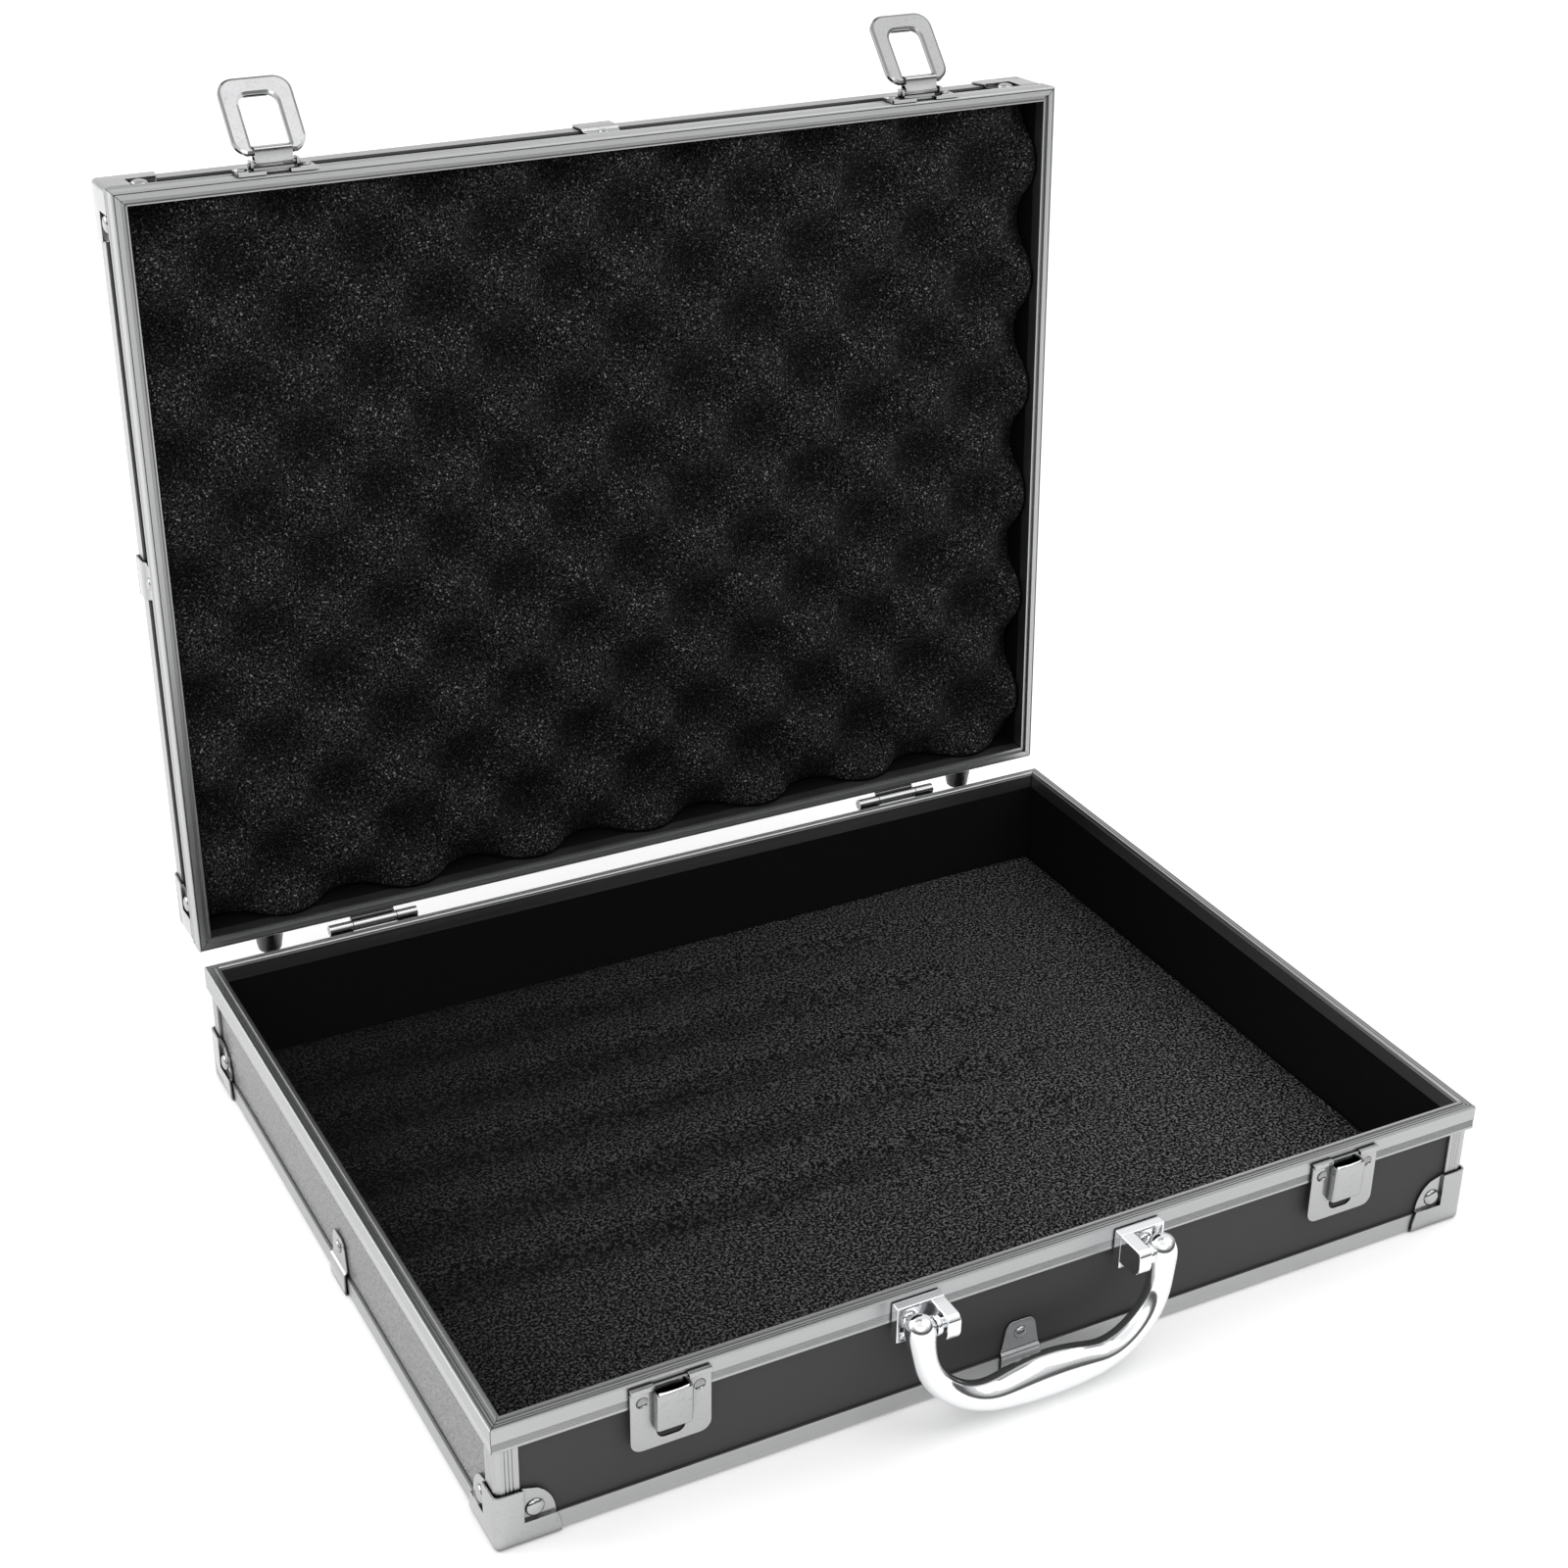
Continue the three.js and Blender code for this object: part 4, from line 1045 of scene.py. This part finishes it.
class CASE_OT_lid_foam(bpy.types.Operator):
    """Makes the lid's egg-crate foam"""

    bl_idname = "case.lid_foam"
    bl_label = "Egg-crate foam"

    def execute(self, context):
        foams = settings("foams")
        low, high = shut_box("lid_foam")
        across, down = 2 * math.pi / foams.bump_across, 2 * math.pi / foams.bump_down
        first_row, steepness = 0.66, 0.8

        def dip(x, y):
            """From 0 on top of a bump to 1 at the bottom of a dip."""
            crate = math.sin(down * y) * math.cos(across * x - first_row)
            return 0.5 + 0.5 * math.copysign(abs(crate) ** steepness, crate)

        def height(x, y):
            wander = noise.noise(Vector((x, y, 0)) * 22) * 0.0009
            wander += noise.noise(Vector((x, y, 5)) * 160) * 0.00035
            edge = min(x - low.x, high.x - x, y - low.y, high.y - y)
            return low.z + foams.bump_height * dip(x, y) + wander + 0.001 + softened(edge, 0.0025)

        bm = foam_grid(low, high, foams.grid, high.z, height)
        store_depth(bm, dip)
        bmesh.ops.transform(bm, matrix=OPENED, verts=bm.verts)
        name = "lid_egg_crate_foam"
        piece = settle(to_mesh(bm, name), name, "lid", "lid_foam", ("lid_foam",), sharp=70)
        return {"FINISHED"}


class CASE_OT_tray_foam(bpy.types.Operator):
    """Makes the tray's fine foam with its soft waves"""

    bl_idname = "case.tray_foam"
    bl_label = "Tray foam"

    def execute(self, context):
        foams = settings("foams")
        low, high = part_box("base_foam")
        turn = 2 * math.pi / foams.wave_pitch
        crest = 0.0085
        right_end, right_fade = 0.15, 0.20
        front_end, front_fade = -0.070, 0.02

        def trough(x, y):
            """From 0 on a wave's crest to 1 in a trough; the waves die out to the right and front."""
            across = min(1.0, max(0.0, (right_end - x) / right_fade))
            along = min(1.0, max(0.0, (y - front_end) / front_fade))
            sway = 0.004 * noise.noise(Vector((x * 6, y * 6, 2)))
            wave = 0.5 - 0.5 * math.cos(turn * (y - crest + sway))
            return wave * across * along

        def height(x, y):
            rough = noise.noise(Vector((x, y, 1)) * 220) * 0.0002
            edge = min(x - low.x, high.x - x, y - low.y, high.y - y)
            return high.z - foams.wave_height * trough(x, y) + rough - 0.0003 - softened(edge, 0.0018)

        bm = foam_grid(low, high, foams.grid, low.z, height)
        store_depth(bm, trough)
        name = "tray_foam_sheet"
        piece = settle(to_mesh(bm, name), name, "base", "tray_foam", ("base_foam",), sharp=70)
        return {"FINISHED"}


class CASE_OT_stage(bpy.types.Operator):
    """Lays the pale floor and sets the lights and the camera"""

    bl_idname = "case.stage"
    bl_label = "Floor, lights and camera"

    def execute(self, context):
        values = settings("stage")
        bm = bmesh.new()
        bmesh.ops.create_circle(bm, cap_ends=True, segments=96, radius=14)
        mesh = bpy.data.meshes.new("floor")
        bm.to_mesh(mesh)
        bm.free()
        floor = bpy.data.objects.new("floor", mesh)
        context.scene.collection.objects.link(floor)
        made = Finish("pale_floor", values.floor, 0.75)
        made.link(
            made.mix(made.noise(3.0), values.floor, tuple(0.985 * c for c in values.floor)),
            made.shader.inputs["Base Color"],
        )
        made.shader.inputs["Emission Color"].default_value = (1, 1, 1, 1)
        made.shader.inputs["Emission Strength"].default_value = 0.16
        mesh.materials.append(made.material)
        self.lights(context)
        self.camera(context, values)
        context.scene.view_settings.view_transform = "Standard"
        return {"FINISHED"}

    def lights(self, context):
        sun = bpy.data.lights.new("ceiling", "SUN")
        sun.energy = 1.1
        sun.angle = math.radians(80)
        ceiling = bpy.data.objects.new("ceiling", sun)
        ceiling.rotation_euler = (math.radians(24), math.radians(-16), 0)
        context.scene.collection.objects.link(ceiling)
        target = Vector((0, 0, 0.1))
        # Name: place, size and power of each softbox.
        softboxes = {
            "behind_left": ((-1.9, 1.5, 1.5), 2.4, 36),
            "right": ((1.0, -0.5, 1.7), 1.7, 14),
            "front": ((-0.6, -2.6, 1.9), 1.0, 6),
        }
        for name, (spot, size, power) in softboxes.items():
            light = bpy.data.lights.new(name, "AREA")
            light.shape = "SQUARE"
            light.size = size
            light.energy = power
            lamp = bpy.data.objects.new(name, light)
            lamp.location = spot
            aim = target - Vector(spot)
            lamp.rotation_euler = aim.to_track_quat("-Z", "Y").to_euler()
            context.scene.collection.objects.link(lamp)
        self.walls(context)

    def walls(self, context):
        """The studio's walls: the near side is dark low down and overhead, the backdrop is pale."""
        world = context.scene.world or bpy.data.worlds.new("studio")
        context.scene.world = world
        world.use_nodes = True
        nodes, links = world.node_tree.nodes, world.node_tree.links
        direction = nodes.new("ShaderNodeTexCoord")
        upward = nodes.new("ShaderNodeSeparateXYZ")
        far = nodes.new("ShaderNodeMapRange")
        far.inputs["From Min"].default_value = -0.15
        far.inputs["From Max"].default_value = 0.4
        blend = nodes.new("ShaderNodeMix")
        blend.data_type = "RGBA"
        # Grey against height, towards the camera's side and towards the pale backdrop.
        near_side = {0.0: 0.08, 0.22: 0.12, 0.38: 0.6, 0.64: 0.9, 0.8: 0.2, 1.0: 0.12}
        backdrop = {0.0: 0.85, 0.5: 0.95, 0.78: 1.0, 0.9: 0.5, 1.0: 0.35}
        links.new(direction.outputs["Generated"], upward.inputs[0])
        for socket, stops in ((6, near_side), (7, backdrop)):
            shade = nodes.new("ShaderNodeValToRGB")
            ramp = shade.color_ramp.elements
            while len(ramp) < len(stops):
                ramp.new(0.5)
            for element, (height, grey) in zip(ramp, stops.items()):
                element.position = height
                element.color = (grey, grey, grey, 1)
            links.new(upward.outputs["Z"], shade.inputs[0])
            links.new(shade.outputs["Color"], blend.inputs[socket])
        links.new(upward.outputs["Y"], far.inputs["Value"])
        links.new(far.outputs["Result"], blend.inputs[0])
        links.new(blend.outputs[2], nodes["Background"].inputs["Color"])
        nodes["Background"].inputs["Strength"].default_value = 1.0

    def camera(self, context, values):
        camera = bpy.data.cameras.new("camera")
        camera.lens = values.lens
        camera.sensor_width = 36
        camera.clip_end = 100
        eye = bpy.data.objects.new("camera", camera)
        context.scene.collection.objects.link(eye)
        # Turned right of straight back, tipped down, and rolled, in degrees.
        yaw, pitch, roll = (math.radians(v) for v in (27.994, 27.749, 0.856))
        ahead = Vector((math.sin(yaw) * math.cos(pitch), math.cos(yaw) * math.cos(pitch), -math.sin(pitch)))
        right = Vector((math.cos(yaw), -math.sin(yaw), 0))
        up = right.cross(ahead)
        side = right * math.cos(roll) + up * math.sin(roll)
        top = up * math.cos(roll) - right * math.sin(roll)
        turn = Matrix((side, top, -ahead)).transposed().to_4x4()
        eye.matrix_world = Matrix.Translation((-0.41899, MIDDLE_Y - 0.75783, 0.6182)) @ turn
        context.scene.camera = eye


class CASE_PT_maker(bpy.types.Panel):
    """Lists the steps that build the case"""

    bl_idname = "CASE_PT_maker"
    bl_label = "Attache case"
    bl_space_type = "VIEW_3D"
    bl_region_type = "UI"
    bl_category = "Case"

    def draw(self, context):
        column = self.layout.column()
        for step in STEPS:
            column.operator(step.bl_idname)
        for group in GROUPS:
            for name in GROUPS[group].__annotations__:
                column.prop(settings(group), name)


GROUPS = {
    "finishes": CaseFinishes,
    "foams": CaseFoams,
    "fittings": CaseFittings,
    "stage": CaseStage,
}
STEPS = (
    CASE_OT_stage,
    CASE_OT_frames,
    CASE_OT_panels,
    CASE_OT_corners,
    CASE_OT_clips,
    CASE_OT_keepers,
    CASE_OT_hasps,
    CASE_OT_handle,
    CASE_OT_hinges,
    CASE_OT_feet,
    CASE_OT_lid_foam,
    CASE_OT_tray_foam,
)


def register():
    for kind in (*GROUPS.values(), *STEPS, CASE_PT_maker):
        bpy.utils.register_class(kind)
    for group, kind in GROUPS.items():
        setattr(bpy.types.Scene, "case_" + group, bpy.props.PointerProperty(type=kind))


def unregister():
    for group in GROUPS:
        delattr(bpy.types.Scene, "case_" + group)
    for kind in reversed((*GROUPS.values(), *STEPS, CASE_PT_maker)):
        bpy.utils.unregister_class(kind)


def main():
    register()
    for step in STEPS:
        group, name = step.bl_idname.split(".")
        getattr(getattr(bpy.ops, group), name)()


if __name__ == "__main__":
    main()
